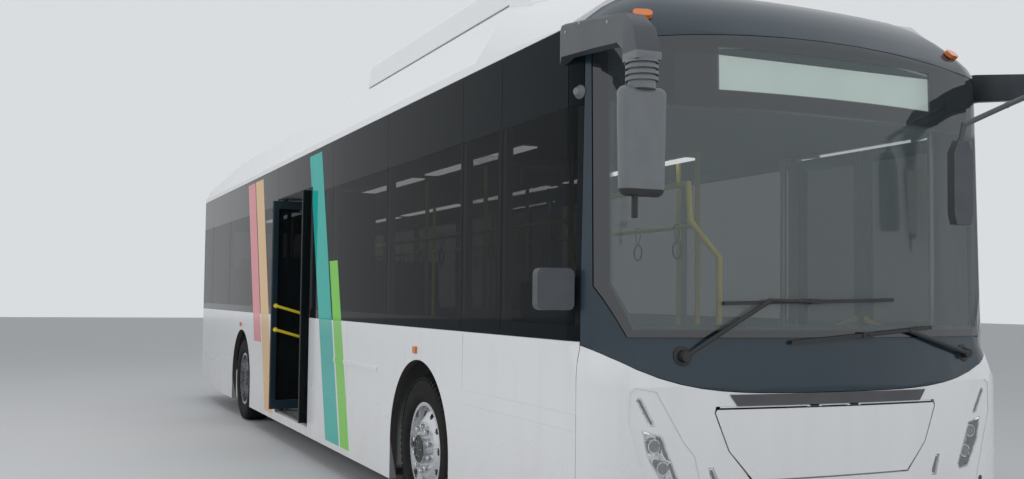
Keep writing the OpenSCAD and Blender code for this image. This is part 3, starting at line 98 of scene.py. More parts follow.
camera_data = bpy.data.cameras.new("camera")
camera_data.sensor_width = SENSOR
camera_data.lens = LENS_PX / PICTURE[0] * SENSOR
camera_data.shift_x = (PICTURE[0] / 2 - CENTRE_PX[0]) / PICTURE[0]
camera_data.shift_y = (CENTRE_PX[1] - PICTURE[1] / 2) / PICTURE[0]
camera_data.clip_end = 200
camera = bpy.data.objects.new("camera", camera_data)
camera.matrix_world = Matrix.Translation(EYE) @ Matrix((right, up, -ahead)).transposed().to_4x4()
bpy.context.scene.collection.objects.link(camera)
bpy.context.scene.camera = camera
print("camera at", [round(v, 2) for v in camera.location])

# %% [markdown]
# ## Node trees
# Every finish and every repeated pattern below is a small node tree. Written as arithmetic, such a tree reads
# like the pattern that it makes, so one class wraps a socket and turns + - * / into Math nodes, and one
# method adds any other node.

# %% Node trees
class Value:
    """An output socket of a tree, on which arithmetic adds Math nodes."""

    def __init__(self, tree, socket):
        self.tree, self.socket = tree, socket

    def math(self, operation, *values, clamp=False):
        return self.tree.node("ShaderNodeMath", {"operation": operation, "use_clamp": clamp}, *values)

    def __add__(self, other):
        return self.math("ADD", self, other)

    def __sub__(self, other):
        return self.math("SUBTRACT", self, other)

    def __rsub__(self, other):
        return self.math("SUBTRACT", other, self)

    def __mul__(self, other):
        return self.math("MULTIPLY", self, other)

    def __truediv__(self, other):
        return self.math("DIVIDE", self, other)

    def __rtruediv__(self, other):
        return self.math("DIVIDE", other, self)

    __radd__ = __add__
    __rmul__ = __mul__

    def above(self, edge, soft):
        """0 below the edge, 1 above it, with a soft step between."""
        return self.math("ADD", (self - edge) / soft, 0.5, clamp=True)

    def between(self, low, high, soft):
        return self.above(low, soft) * (1 - self.above(high, soft))

    def absolute(self):
        return self.math("ABSOLUTE", self)

    def most(self, other):
        return self.math("MAXIMUM", self, other)


class Tree:
    def __init__(self, tree):
        self.tree = tree

    def node(self, kind, settings=None, *values, output=0, **named):
        """Any node: settings are set first, then its sockets by order or by name."""
        made = self.tree.nodes.new(kind)
        for key, value in (settings or {}).items():
            setattr(made, key, value)
        for key, value in [*enumerate(values), *((k.replace("_", " "), v) for k, v in named.items())]:
            if isinstance(value, Value):
                self.tree.links.new(value.socket, made.inputs[key])
            elif value is not None:
                made.inputs[key].default_value = value
        return Value(self, made.outputs[output])

    def mix(self, amount, a, b):
        """Colour a where amount is 0, colour b where it is 1."""
        made = self.tree.nodes.new("ShaderNodeMix")
        made.data_type = "RGBA"
        for key, value in ((0, amount), (6, a), (7, b)):
            if isinstance(value, Value):
                self.tree.links.new(value.socket, made.inputs[key])
            else:
                made.inputs[key].default_value = value if key == 0 else (*value, 1)
        return Value(self, made.outputs[2])


print("tree tools ready")

# %% [markdown]
# ## Finishes
# A finish is one Principled surface. Bodywork, rubber and plastic all drift a little in tone and carry a fine
# grain, so the class has short ways to both. They read Object coordinates, which are the bus's own metres,
# because the patterns then run on from one panel to the next and never slide.

# %% Finishes
class Finish(Tree):
    """One material: its tree, its Principled surface and short ways to the usual patterns."""

    def __init__(self, name, colour, roughness, metallic=0.0, **constants):
        self.material = bpy.data.materials.new(name)
        self.material.use_nodes = True
        super().__init__(self.material.node_tree)
        self.surface = self.tree.nodes["Principled BSDF"]
        self.feed("Base Color", (*colour, 1))
        self.feed("Roughness", roughness)
        self.feed("Metallic", metallic)
        for socket, value in constants.items():
            self.feed(socket.replace("_", " "), value)

    def feed(self, socket, value):
        if isinstance(value, Value):
            self.tree.links.new(value.socket, self.surface.inputs[socket])
        else:
            self.surface.inputs[socket].default_value = value
        return self

    def place(self, scale=(1, 1, 1)):
        """Object coordinates, stretched where a pattern runs along the bus or down it."""
        here = self.node("ShaderNodeTexCoord", output="Object")
        return here if scale == (1, 1, 1) else self.node("ShaderNodeMapping", None, here, Scale=scale)

    def axes(self):
        here = self.place()
        return [self.node("ShaderNodeSeparateXYZ", None, here, output=i) for i in range(3)]

    def noise(self, size, detail=4.0, stretch=(1, 1, 1)):
        """Soft mottling from 0 to 1, with patches of the given size."""
        return self.node("ShaderNodeTexNoise", None, Vector=self.place(stretch), Scale=1 / size,
                         Detail=detail, Roughness=0.55)

    def mottle(self, size, a, b, detail=5):
        """Base colour that drifts between two tones."""
        return self.feed("Base Color", self.mix(self.noise(size, detail), a, b))

    def rough(self, pattern, least, spread):
        """Roughness that the pattern raises from its least value."""
        return self.feed("Roughness", pattern * spread + least)

    def bump(self, height, depth):
        """Relief of the given depth in metres."""
        relief = self.node("ShaderNodeBump", None, Strength=1.0, Distance=depth, Height=height)
        return self.feed("Normal", relief)


finishes = {}


def finish(name, *args, **kwargs):
    finishes[name] = Finish(name, *args, **kwargs)
    return finishes[name]


def grained(name, roughness, patch, a, b, grain, depth, detail=5, **constants):
    """A finish that drifts between two tones and has a grain of the given size and detail."""
    made = finish(name, a, roughness, **constants)
    made.mottle(patch, a, b, detail)
    return made.bump(made.noise(*grain), depth)


def glowing(name, roughness, patch, a, b, strength, **constants):
    """A finish that shines with its own drifting tone."""
    made = finish(name, a, roughness, Emission_Strength=strength, **constants)
    tone = made.mix(made.noise(patch), a, b)
    return made.feed("Base Color", tone).feed("Emission Color", tone)


print("finish tools ready")

# %% [markdown]
# ## Paint
# The body is white gloss paint. Road film darkens it from the skirt upward and leaves faint runs below the
# windows. Round the right doorway the paint carries slanted bands in four colours, which cross the glass too,
# so the bands are a function of place alone that both finishes share.

# %% Paint
BAND_SLOPE = 0.30         # how far forward a band moves for each metre that it falls
BAND_LEVEL = 1.2          # the height at which the bands' places are given
BANDS = [  # from x, to x at that level, lowest and highest place, colour
    (-2.00, -1.58, 0.25, 2.72, (0.78, 0.48, 0.20)),
    (-2.44, -2.04, 0.95, 2.72, (0.78, 0.22, 0.25)),
    (0.56, 1.00, 0.25, 2.72, (0.02, 0.44, 0.38)),
    (1.04, 1.30, 0.25, 1.75, (0.20, 0.60, 0.07)),
]


def banded(paint, colour):
    """The colour with the bands of the right side laid over it, and a mask of them."""
    x, y, z = paint.axes()
    along = x + (z - BAND_LEVEL) * BAND_SLOPE
    right_side = 1 - y.above(-1.18, 0.01)
    covered = 0.0
    for start, end, low, high, tint in BANDS:
        band = along.between(start, end, 0.004) * z.between(low, high, 0.004) * right_side
        colour = paint.mix(band, colour, tint)
        covered = band + covered
    return colour, covered


white = finish("white_paint", (0.80, 0.815, 0.82), 0.2, Coat_Weight=0.2, Coat_Roughness=0.06)
height = white.axes()[2]
road_film = (1 - height.above(0.55, 0.9)) * white.noise(0.35, 6, (1, 1, 0.25))
runs = white.noise(0.12, 3, (1, 1, 0.08)).above(0.62, 0.3) * height.between(0.6, 1.25, 0.3)
shade = white.mix(white.noise(1.5), (0.76, 0.775, 0.785), (0.80, 0.81, 0.82))
shade = white.mix(road_film * 0.5, shade, (0.42, 0.40, 0.37))
shade = white.mix(runs * 0.07, shade, (0.40, 0.38, 0.35))
white.feed("Base Color", banded(white, shade)[0])
white.rough(road_film, 0.18, 0.5)
white.bump(white.noise(0.4, 2), 0.0004)

slate = finish("slate_paint", (0.02, 0.036, 0.052), 0.16, Coat_Weight=0.2, Coat_Roughness=0.04)
slate.mottle(0.3, (0.015, 0.030, 0.044), (0.021, 0.041, 0.058))
slate.rough(slate.noise(0.3), 0.12, 0.12)
print("paints:", len(finishes))

# %% [markdown]
# ## Glass
# The side glass is smoked almost black and bonded over the pillars, so its edges are printed black. The
# windscreen is clear with a dark band along its top, a printed border and a window for the destination sign.
# Thin glass is drawn as a glossy surface that lets part of the light straight through, which keeps the saloon
# visible.

# %% Glass
SMOKE = (0.010, 0.013, 0.015)
dark_glass = finish("smoked_glass", SMOKE, 0.03, IOR=1.10, Coat_Roughness=0.02)
tint, bands = banded(dark_glass, SMOKE)
x, y, z = dark_glass.axes()
frit = 1 - z.between(1.335, 2.37, 0.004)
dark_glass.feed("Base Color", tint)
dark_glass.feed("Coat Weight", (1 - x.above(-1.0, 5.0)) * 0.3)
dark_glass.feed("Alpha", frit.most(bands) * 0.34 + 0.65)
dark_glass.rough(dark_glass.noise(0.5), 0.015, 0.04)

door_glass = finish("door_glass", SMOKE, 0.03, IOR=1.12)
door_glass.rough(door_glass.noise(0.5), 0.015, 0.04)
door_glass.feed("Alpha", door_glass.noise(0.6) * 0.04 + 0.76)

screen_glass = finish("windscreen_glass", (0.05, 0.065, 0.065), 0.02, IOR=1.9)
x, y, z = screen_glass.axes()
side_border = (y.absolute() + (1.52 - z).most(0.0) * 0.45).above(1.135, 0.02)
border = side_border.most(1 - z.above(1.325, 0.02))
sign_window = y.between(-0.62, 0.70, 0.004) * z.between(2.455, 2.660, 0.004)
print_mask = border.most(z.above(2.36, 0.03) * 0.9 * (1 - sign_window))
screen_glass.feed("Alpha", print_mask * 0.64 + 0.33)
screen_glass.feed("Base Color", screen_glass.mix(print_mask, (0.15, 0.19, 0.19), (0.012, 0.016, 0.020)))
screen_glass.rough(screen_glass.noise(0.6), 0.01, 0.03)

lamp_glass = finish("lamp_glass", (0.8, 0.82, 0.84), 0.03, IOR=1.45)
lamp_glass.feed("Alpha", lamp_glass.noise(0.02, 2) * 0.08 + 0.10)
mirror_glass = finish("mirror_glass", (0.75, 0.77, 0.79), 0.02, 1.0)
mirror_glass.rough(mirror_glass.noise(0.1), 0.01, 0.03)
print("finishes with glass:", len(finishes))

# %% [markdown]
# ## Rubber, plastic and metal
# These plain finishes differ only in tone, gloss and grain, so most of them are one line each. Dust gives the
# rubber and the chassis a second, browner tone.

# %% Rubber, plastic and metal
grained("chassis_paint", 0.6, 0.2, (0.022, 0.022, 0.024), (0.085, 0.075, 0.06), (0.02, 6), 0.0008, 8)
grained("inner_lining", 0.5, 0.5, (0.26, 0.27, 0.28), (0.32, 0.33, 0.335), (0.002, 2), 0.0002)
grained("black_rubber", 0.75, 0.08, (0.015, 0.015, 0.016), (0.05, 0.048, 0.044), (0.003, 3), 0.0003, 6)
grained("tyre_rubber", 0.8, 0.06, (0.006, 0.006, 0.007), (0.020, 0.019, 0.018), (0.004, 4), 0.0006, 6,
        IOR=1.3)
grained("grey_plastic", 0.45, 0.1, (0.050, 0.056, 0.064), (0.085, 0.092, 0.10), (0.0015, 2), 0.00015)
grained("mirror_shell", 0.4, 0.12, (0.13, 0.145, 0.155), (0.19, 0.205, 0.215), (0.0015, 2), 0.00015)
grained("black_plastic", 0.5, 0.15, (0.014, 0.014, 0.016), (0.04, 0.04, 0.041), (0.0015, 2), 0.0002)
smoked_trim = finish("smoked_trim", (0.06, 0.062, 0.066), 0.12, Coat_Weight=0.8)
smoked_trim.mottle(0.2, (0.05, 0.052, 0.056), (0.085, 0.088, 0.092))

alloy = finish("wheel_alloy", (0.62, 0.63, 0.645), 0.28, 1.0)
alloy.mottle(0.05, (0.60, 0.61, 0.62), (0.80, 0.81, 0.82))
alloy.rough(alloy.noise(0.03, 5), 0.14, 0.22)
chrome = finish("chrome", (0.80, 0.81, 0.82), 0.08, 1.0)
chrome.rough(chrome.noise(0.02, 3), 0.04, 0.12)
steel = finish("bare_steel", (0.45, 0.46, 0.47), 0.35, 1.0)
steel.rough(steel.noise(0.004, 3, (1, 1, 0.05)), 0.25, 0.3)
yellow = finish("yellow_rail_paint", (0.86, 0.66, 0.02), 0.3, Coat_Weight=0.4)
yellow.mottle(0.2, (0.84, 0.64, 0.02), (0.90, 0.72, 0.05))
yellow.rough(yellow.noise(0.05), 0.25, 0.2)
print("finishes:", len(finishes))

# %% [markdown]
# ## Lenses and lights
# The lenses are glossy and finely stippled. A lamp reflector is pressed in facets, which a Voronoi pattern
# gives at once. Its tone is painted dark in the hollow middle of each facet and light at the ridges, as painted
# shade and painted highlight. The destination sign is a grid of small square lamps behind a pale film.

# %% Lenses and lights
for name, deep, bright in (("amber_lens", (0.62, 0.13, 0.005), (0.80, 0.20, 0.01)),
                           ("red_lens", (0.34, 0.01, 0.01), (0.55, 0.02, 0.02))):
    grained(name, 0.12, 0.02, deep, bright, (0.004, 1), 0.0004, Coat_Weight=0.8)

reflector = finish("lamp_reflector", (0.75, 0.77, 0.8), 0.12, 1.0)
facet_relief_and_shade = reflector.node("ShaderNodeTexVoronoi", {"feature": "F1"}, Vector=reflector.place((1, 1, 0.4)),
                        Scale=60.0)
# painted shade: the tone runs from dark in each facet's hollow middle to bright at its ridges, a painted
# highlight
reflector.feed("Base Color", reflector.mix(facet_relief_and_shade * 1.2, (0.30, 0.31, 0.33), (0.90, 0.91, 0.93)))
reflector.bump(facet_relief_and_shade, 0.004)


def small_lamps(axis):
    """1 on the face of each small lamp of the sign, 0 in the gaps, fifty lamps to the metre."""
    steps = axis * 50
    return steps.math("FRACT", steps).between(0.1, 0.9, 0.1)


sign = glowing("sign_face", 0.3, 0.25, (0.47, 0.57, 0.53), (0.60, 0.70, 0.66), 0.95)
x, y, z = sign.axes()
sign.bump(small_lamps(y) * small_lamps(z), 0.0002)
glowing("light_guide", 0.15, 0.03, (0.78, 0.80, 0.84), (0.92, 0.93, 0.95), 0.25, Coat_Weight=0.6)
glowing("strip_light", 0.4, 0.2, (0.90, 0.92, 0.95), (1.0, 1.0, 0.98), 1.2)
print("finishes:", len(finishes))

# %% [markdown]
# ## Seats and floor
# The seat shells are blue plastic, their pads a coarse diagonal weave. The floor is grey vinyl with pale grit
# that keeps it from being slippery.

# %% Seats and floor
grained("seat_shell", 0.35, 0.3, (0.04, 0.08, 0.18), (0.07, 0.12, 0.25), (0.002, 2), 0.0002, 4)
cloth = finish("seat_cloth", (0.05, 0.07, 0.13), 0.85, Sheen_Weight=0.3)
weave = cloth.node("ShaderNodeTexWave", {"wave_type": "BANDS", "bands_direction": "DIAGONAL"},
                   Vector=cloth.place(), Scale=260.0)
cloth.feed("Base Color", cloth.mix(weave, (0.035, 0.05, 0.10), (0.07, 0.10, 0.18)))
cloth.bump(weave, 0.0004)
vinyl = finish("floor_vinyl", (0.16, 0.17, 0.18), 0.55)
grit = vinyl.noise(0.006, 1).above(0.64, 0.03)
vinyl.feed("Base Color", vinyl.mix(grit, (0.13, 0.14, 0.15), (0.42, 0.43, 0.44)))
vinyl.bump(grit, 0.0003)
print("finishes:", len(finishes))

# %% [markdown]
# ## Shapes
# Small parts are built from a few closed forms: convex hulls, turned profiles and bent tubes. Each form is
# added to a shell in the bus's own metres, or in a part's local frame through a placing matrix. Forms that
# close by themselves need no joining, so a shell of many of them is still watertight.

# %% Shapes
at = Matrix.Translation


def joined(rings, sides):
    """The faces of a closed form whose points lie in rings, each with the same number of sides."""
    top = (rings - 1) * sides
    faces = [[low + i, low + (i + 1) % sides, low + sides + (i + 1) % sides, low + sides + i]
             for low in range(0, top, sides) for i in range(sides)]
    return faces + [list(range(sides)), list(range(top, top + sides))]


class Shell:
    """A mesh in the making, to which closed forms are added."""

    def __init__(self):
        self.mesh = bmesh.new()

    def form(self, points, faces, slot, place):
        made = [self.mesh.verts.new(place @ Vector(p) if place else p) for p in points]
        for face in faces:
            self.mesh.faces.new([made[i] for i in face]).material_index = slot
        return self

    def hull(self, points, slot=0, place=None):
        """The convex form round the points."""
        form = bmesh.new()
        for p in points:
            form.verts.new(p)
        bmesh.ops.convex_hull(form, input=form.verts)
        bmesh.ops.delete(form, geom=[v for v in form.verts if not v.link_faces], context="VERTS")
        bmesh.ops.dissolve_limit(form, angle_limit=0.01, verts=form.verts, edges=form.edges)
        form.verts.index_update()
        faces = [[v.index for v in face.verts] for face in form.faces]
        self.form([v.co.copy() for v in form.verts], faces, slot, place)
        form.free()
        return self

    def block(self, low, high, slot=0, cut=0.0, place=None):
        """A box between two opposite corners, with its edges cut back by the given length."""
        ends = [sorted(pair) for pair in zip(low, high)]
        points = []
        for corner in range(8):
            far = [corner >> axis & 1 for axis in range(3)]
            for kept in range(3) if cut else (0,):
                points.append([ends[a][far[a]] + (0 if a == kept else (cut, -cut)[far[a]]) for a in range(3)])
        return self.hull(points, slot, place)

    def turned(self, profile, steps=32, slot=0, place=None, ring=False):
        """A profile of (radius, height) turned round the local Z axis; a ring profile closes on itself."""
        points, rows = [], []
        for radius, height in profile:
            angles = [math.tau * i / steps for i in range(1 if radius == 0 else steps)]
            rows.append([len(points) + i for i in range(len(angles))])
            points += [(radius * math.cos(a), radius * math.sin(a), height) for a in angles]
        faces = []
        for low, high in zip(rows, rows[1:] + rows[:1] if ring else rows[1:]):
            for i in range(steps):
                j = (i + 1) % steps
                corners = [low[i % len(low)], low[j % len(low)], high[j % len(high)], high[i % len(high)]]
                faces.append(list(dict.fromkeys(corners)))
        return self.form(points, faces, slot, place)

    def tube(self, path, radius, sides=12, slot=0, place=None):
        """A round bar along the path, closed at its ends."""
        path = [Vector(p) for p in path]
        points, last = [], len(path) - 1
        tangents = [(path[min(i + 1, last)] - path[max(i - 1, 0)]).normalized() for i in range(len(path))]
        side = tangents[0].orthogonal().normalized()
        for p, tangent in zip(path, tangents):
            side = (side - tangent * side.dot(tangent)).normalized()
            over = tangent.cross(side)
            points += [p + side * math.cos(a) * radius + over * math.sin(a) * radius
                       for a in (math.tau * i / sides for i in range(sides))]
        return self.form(points, joined(len(path), sides), slot, place)

    def add(self, mesh, place=None):
        """A finished mesh, put at its place."""
        placed = mesh.copy()
        if place:
            placed.transform(place)
        self.mesh.from_mesh(placed)
        return self

    def done(self, turn=30):
        """The closed mesh, facing outward, smooth where it turns gently."""
        bmesh.ops.recalc_face_normals(self.mesh, faces=self.mesh.faces)
        smooth(self.mesh, turn)
        mesh = bpy.data.meshes.new("shell")
        self.mesh.to_mesh(mesh)
        self.mesh.free()
        return mesh


print("forms ready")

# %% [markdown]
# ## Pieces
# A mesh is shaded smooth where it turns gently and stays sharp at real edges, so that few faces are enough to
# look round. It then becomes one object that rides on a body of the frame, with its finishes in the order of
# its material slots.

# %% Pieces
def smooth(shape, turn):
    """Shades the shape smooth, except at edges that turn by more than the given degrees."""
    for face in shape.faces:
        face.smooth = True
    for edge in shape.edges:
        edge.smooth = len(edge.link_faces) == 2 and edge.calc_face_angle(0) < math.radians(turn)


def piece(name, mesh, body, *materials):
    """An object of the mesh that rides on a body of the frame."""
    mesh = mesh.done() if isinstance(mesh, Shell) else mesh
    made = bpy.data.objects.new(name, mesh)
    bpy.context.scene.collection.objects.link(made)
    for material in materials:
        mesh.materials.append(finishes[material].material)
    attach(made, body)
    return made


print("pieces ready")

# %% [markdown]
# ## Places on a surface
# Screws, lamps and seals sit on curved panels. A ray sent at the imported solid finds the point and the
# direction in which the surface faces, so that each small part stands square on its panel.

# %% Places on a surface
AHEAD_OF_NOSE = 6.5       # a place before the nose, from which a ray looks back


def surface_tree(node):
    """The surface of a CAD solid, for finding the place of what sits on it."""
    shape = bmesh.new()
    shape.from_mesh(nodes[node].data)
    tree = BVHTree.FromBMesh(shape)
    shape.free()
    return tree


def met(tree, start, direction):
    """The point of the surface that a line from start meets, or None."""
    return tree.ray_cast(Vector(start), Vector(direction))[0]


def seat_on(tree, start, direction):
    """A frame whose Z axis stands out of the surface that a line from start meets."""
    place, normal, _, _ = tree.ray_cast(Vector(start), Vector(direction))
    if normal.dot(Vector(direction)) > 0:
        normal = -normal
    return at(place) @ normal.to_track_quat("Z", "Y").to_matrix().to_4x4()


def on_nose(tree, y, z):
    """The frame on the surface that is met from straight ahead."""
    return seat_on(tree, (AHEAD_OF_NOSE, y, z), (-1, 0, 0))


def facing(place, side):
    """A frame at the place whose Z axis points out to the left for 1, to the right for -1."""
    return at(place) @ Matrix.Rotation(math.radians(-90 * side), 4, "X")


def bent(points, radius, steps=6):
    """A path through the points with its corners rounded."""
    points = [Vector(p) for p in points]
    path = [points[0]]
    for before, corner, after in zip(points, points[1:], points[2:]):
        start = corner + (before - corner).normalized() * radius
        end = corner + (after - corner).normalized() * radius
        path += [(start * (1 - t) + corner * t) * (1 - t) + (corner * (1 - t) + end * t) * t
                 for t in (i / steps for i in range(steps + 1))]
    return path + [points[-1]]


print("places ready")

# %% [markdown]
# ## Repeated parts
# Wheel nuts, tread blocks, fan bars, louvres and grab straps each come in a row or a ring of equal parts. One
# part is modelled, and a Geometry Nodes tree repeats it. The result is turned into a plain mesh, so that it
# can ride on its body like any other piece.

# %% Repeated parts
class Pattern(Tree):
    """A Geometry Nodes tree with named sizes that repeats the mesh that it is given."""

    def __init__(self, name, **sizes):
        super().__init__(bpy.data.node_groups.new(name, "GeometryNodeTree"))
        self.sockets = {}
        self.tree.interface.new_socket("Geometry", in_out="OUTPUT", socket_type="NodeSocketGeometry")
        self.ask("Geometry", "Geometry")
        for label, value in sizes.items():
            self.ask(label, {int: "Int", float: "Float", tuple: "Vector"}[type(value)])
            self.sockets[label].default_value = value
        self.ask("Material", "Material")
        self.given = self.tree.nodes.new("NodeGroupInput")
        self.result = self.tree.nodes.new("NodeGroupOutput")

    def ask(self, label, kind):
        """A named input of the tree."""
        self.sockets[label] = self.tree.interface.new_socket(label, in_out="INPUT",
                                                             socket_type="NodeSocket" + kind)

    def size(self, label):
        return Value(self, self.given.outputs[label])

    def repeat(self, points, rotation=None):
        """Puts the given mesh on the points, makes it real and gives it its material."""
        copies = self.node("GeometryNodeInstanceOnPoints", None, Points=points,
                           Instance=self.size("Geometry"), Rotation=rotation)
        real = self.node("GeometryNodeRealizeInstances", None, copies)
        made = self.node("GeometryNodeSetMaterial", None, Geometry=real, Material=self.size("Material"))
        self.tree.links.new(made.socket, self.result.inputs[0])
        return self

    def of(self, shell, material, **sizes):
        """The mesh that the pattern makes of a shell."""
        unit = bpy.data.objects.new("unit", shell.done())
        bpy.context.scene.collection.objects.link(unit)
        modifier = unit.modifiers.new("pattern", "NODES")
        modifier.node_group = self.tree
        for label, value in {**sizes, "Material": finishes[material].material}.items():
            modifier[self.sockets[label].identifier] = value
        mesh = applied(unit)
        mesh.materials.clear()
        bpy.data.objects.remove(unit)
        return mesh


def applied(made):
    """The object's mesh with its modifiers worked in, and the modifiers removed."""
    bpy.context.view_layer.update()
    mesh = bpy.data.meshes.new_from_object(made.evaluated_get(bpy.context.evaluated_depsgraph_get()))
    made.modifiers.clear()
    made.data = mesh
    return mesh


ring = Pattern("ring", Count=10, First=0.0)
centre = ring.node("GeometryNodeMeshLine", None, Count=ring.size("Count"), Offset=(0, 0, 0))
angle = ring.node("GeometryNodeInputIndex") * (math.tau / ring.size("Count")) + ring.size("First")
ring.repeat(centre, ring.node("ShaderNodeCombineXYZ", None, 0, 0, angle))

row = Pattern("row", Count=10, Step=(0.1, 0.0, 0.0))
row.repeat(row.node("GeometryNodeMeshLine", None, Count=row.size("Count"), Offset=row.size("Step")))
print("patterns:", len(bpy.data.node_groups))

# %% [markdown]
# ## Smooth copies of the CAD solids
# A CAD solid arrives as loose flat triangles. Gloss paint shows each of them on a curved nose, so the solids
# are copied, welded at their corners, shaded smooth where they turn gently, and kept sharp at real edges. The
# weighted normals let the large faces win, so that flat panels stay flat. Where one solid carries several
# finishes, a small test of each face's place and direction picks the one that it gets.

# %% Smooth copies
def smooth_copy(node, *materials, pick=None, turn=34):
    """A smooth, finished copy of a CAD solid that takes its place."""
    source = nodes[node]
    mesh = source.data.copy()
    mesh.materials.clear()
    shape = bmesh.new()
    shape.from_mesh(mesh)
    bmesh.ops.remove_doubles(shape, verts=shape.verts, dist=2e-5)
    smooth(shape, turn)
    for face in shape.faces:
        face.material_index = int(pick(face.calc_center_median(), face.normal)) if pick else 0
    shape.to_mesh(mesh)
    shape.free()
    made = piece(node + "_shell", mesh, body_of(source)[0], *materials)
    weighted = made.modifiers.new("weighted", "WEIGHTED_NORMAL")
    weighted.keep_sharp = True
    weighted.weight = 80
    applied(made)
    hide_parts(node)


plain_copies = {
    "white_paint": ["roof_units", "front_panel"], "slate_paint": ["front_mask"],
    "windscreen_glass": ["windscreen"], "smoked_glass": ["side_windows", "rear_window"],
    "lamp_glass": ["driver_screen", "lamp_lenses"], "smoked_trim": ["front_trim"],
    "black_plastic": ["steering_wheel", "dashboard", "wipers"], "yellow_rail_paint": ["handrails"],
    "sign_face": ["destination_sign"], "amber_lens": ["marker_lamps"], "red_lens": ["rear_lamps"],
    "chassis_paint": ["underframe", "rear_frame", "drive_pack", "front_axle", "rear_axle"],
    "bare_steel": ["knuckle_right", "knuckle_left"],
    "wheel_alloy": [f"{wheels}_{side}" for wheels in ("front_wheel", "rear_wheels") for side, _ in SIDES],
}
for material, names in plain_copies.items():
    for name in names:
        smooth_copy(name, material)
print("plain copies:", sum(len(names) for names in plain_copies.values()))

# %% [markdown]
# ## Bodywork with two faces
# A wall of the bus is painted outside, lined inside and black in its wheel arches, all on one solid. Each
# test below looks at a face's middle c and its normal n and answers with the number of the finish.

# %% Bodywork with two faces
def in_arch(c):
    """Whether a point is on the inside of a wheel arch."""
    return c.z < 1.1 and any(math.hypot(c.x - axle, c.z - HUB_Z) < 0.585 for axle in AXLES.values())


def skin_or_lining(c, n):
    """0 for paint on the outside, 1 for lining towards the saloon, 2 for the wheel arches."""
    if in_arch(c):
        return 2
    inside = abs(c.y) < 1.245 and n.y * c.y < 0.2 and c.z > 0.30 and c.x > -6.2
    return inside or (abs(n.x) > 0.9 and abs(c.y) < 1.249)


def ceiling(c, n):
    """The roof's underside and the insides of its cantrails."""
    return (n.z < -0.3 and abs(c.y) < 1.2 and c.z < 2.99) or (c.z < 2.7 and abs(c.y) < 1.17)


smooth_copy("front_flap", "white_paint", "black_plastic", pick=lambda c, n: c.z > 0.9525)
for side, _ in SIDES:
    smooth_copy("side_wall_" + side, "white_paint", "inner_lining", "chassis_paint", pick=skin_or_lining)
smooth_copy("roof_shell", "white_paint", "inner_lining", pick=ceiling)
smooth_copy("rear_wall", "white_paint", "inner_lining", pick=lambda c, n: n.x > 0.5 and abs(c.y) < 1.2)
smooth_copy("floor", "floor_vinyl", "chassis_paint", pick=lambda c, n: n.z < -0.5)
smooth_copy("floor_boxes", "inner_lining", "chassis_paint", pick=lambda c, n: in_arch(c))
smooth_copy("head_lamps", "black_plastic", "lamp_reflector", pick=lambda c, n: n.x > 0.35)
smooth_copy("small_mirrors", "grey_plastic", "mirror_shell", pick=lambda c, n: c.z > 2.39 and c.y < -1.2)

# %% [markdown]
# ## Mirrors
# Each large mirror hangs from a dark arm on a rubber bellows. Its head is a lighter shell with a black rim at
# the bottom, and the glass looks back along the bus. One solid carries all of them, so place and direction
# pick the finish. Three screws hold each arm.

# %% Mirrors
def mirror_finish(c, n):
    """0 for the arm, 1 for the head's shell, 2 for its rim, 3 for the glass."""
    if c.x > 6.0 and c.z < 2.305:
        if n.x < -0.75 and 1.90 < c.z < 2.27:
            return 3
        return 2 if c.z < 1.90 else 1
    return c.x > 6.08 and c.z < 2.43 and n.length and abs(n.z) < 0.8


screws = Shell()
for side, out in SIDES:
    smooth_copy("mirror_" + side, "grey_plastic", "mirror_shell", "black_plastic", "mirror_glass",
                pick=mirror_finish)
    arm = surface_tree("mirror_" + side)
    for x in (5.42, 5.60, 5.95):
        for z in (2.70, 2.66, 2.62, 2.58, 2.54, 2.50):
            start, inward = (x, out * 2.0, z), (0, -out, 0)
            if met(arm, start, inward):
                screws.turned([(0, 0.0035), (0.005, 0.003), (0.008, 0.0015), (0.0085, -0.001)], 12,
                              place=seat_on(arm, start, inward))
                break
piece("mirror_screws", screws, "body", "bare_steel")
print("mirrors dressed")

# %% [markdown]
# ## Tyres
# A bus tyre has a plain sidewall, four grooves round its tread and a row of blocks on each shoulder. The
# carcass with its grooves is a turned profile. One pair of shoulder blocks is modelled and repeated round the
# tyre. The rear wheels carry twin tyres, so their carcass and blocks are made twice.

# %% Tyres
SIDEWALL = [(0.2863, 0.1077), (0.2983, 0.1077), (0.312, 0.1235), (0.330, 0.131), (0.352, 0.1368),
            (0.372, 0.1372), (0.380, 0.1355), (0.388, 0.1366), (0.400, 0.1362), (0.418, 0.1340),
            (0.438, 0.1275), (0.453, 0.113), (0.465, 0.088), (0.466, 0.0715), (0.4775, 0.070)]
GROOVES = (0.0525, 0.0175)      # distance of the grooves from the tyre's middle
GROOVE = ((1, 0.4778, 0.0050), (1, 0.4655, 0.0035), (-1, 0.4655, 0.0035), (-1, 0.4778, 0.0050))
BLOCK = [(0.4775, 0.073), (0.4768, 0.098), (0.4600, 0.1265), (0.4400, 0.1310), (0.4400, 0.073)]
BLOCKS = 64
TWIN_GAP = 0.318                # from the middle of the outer to that of the inner rear tyre

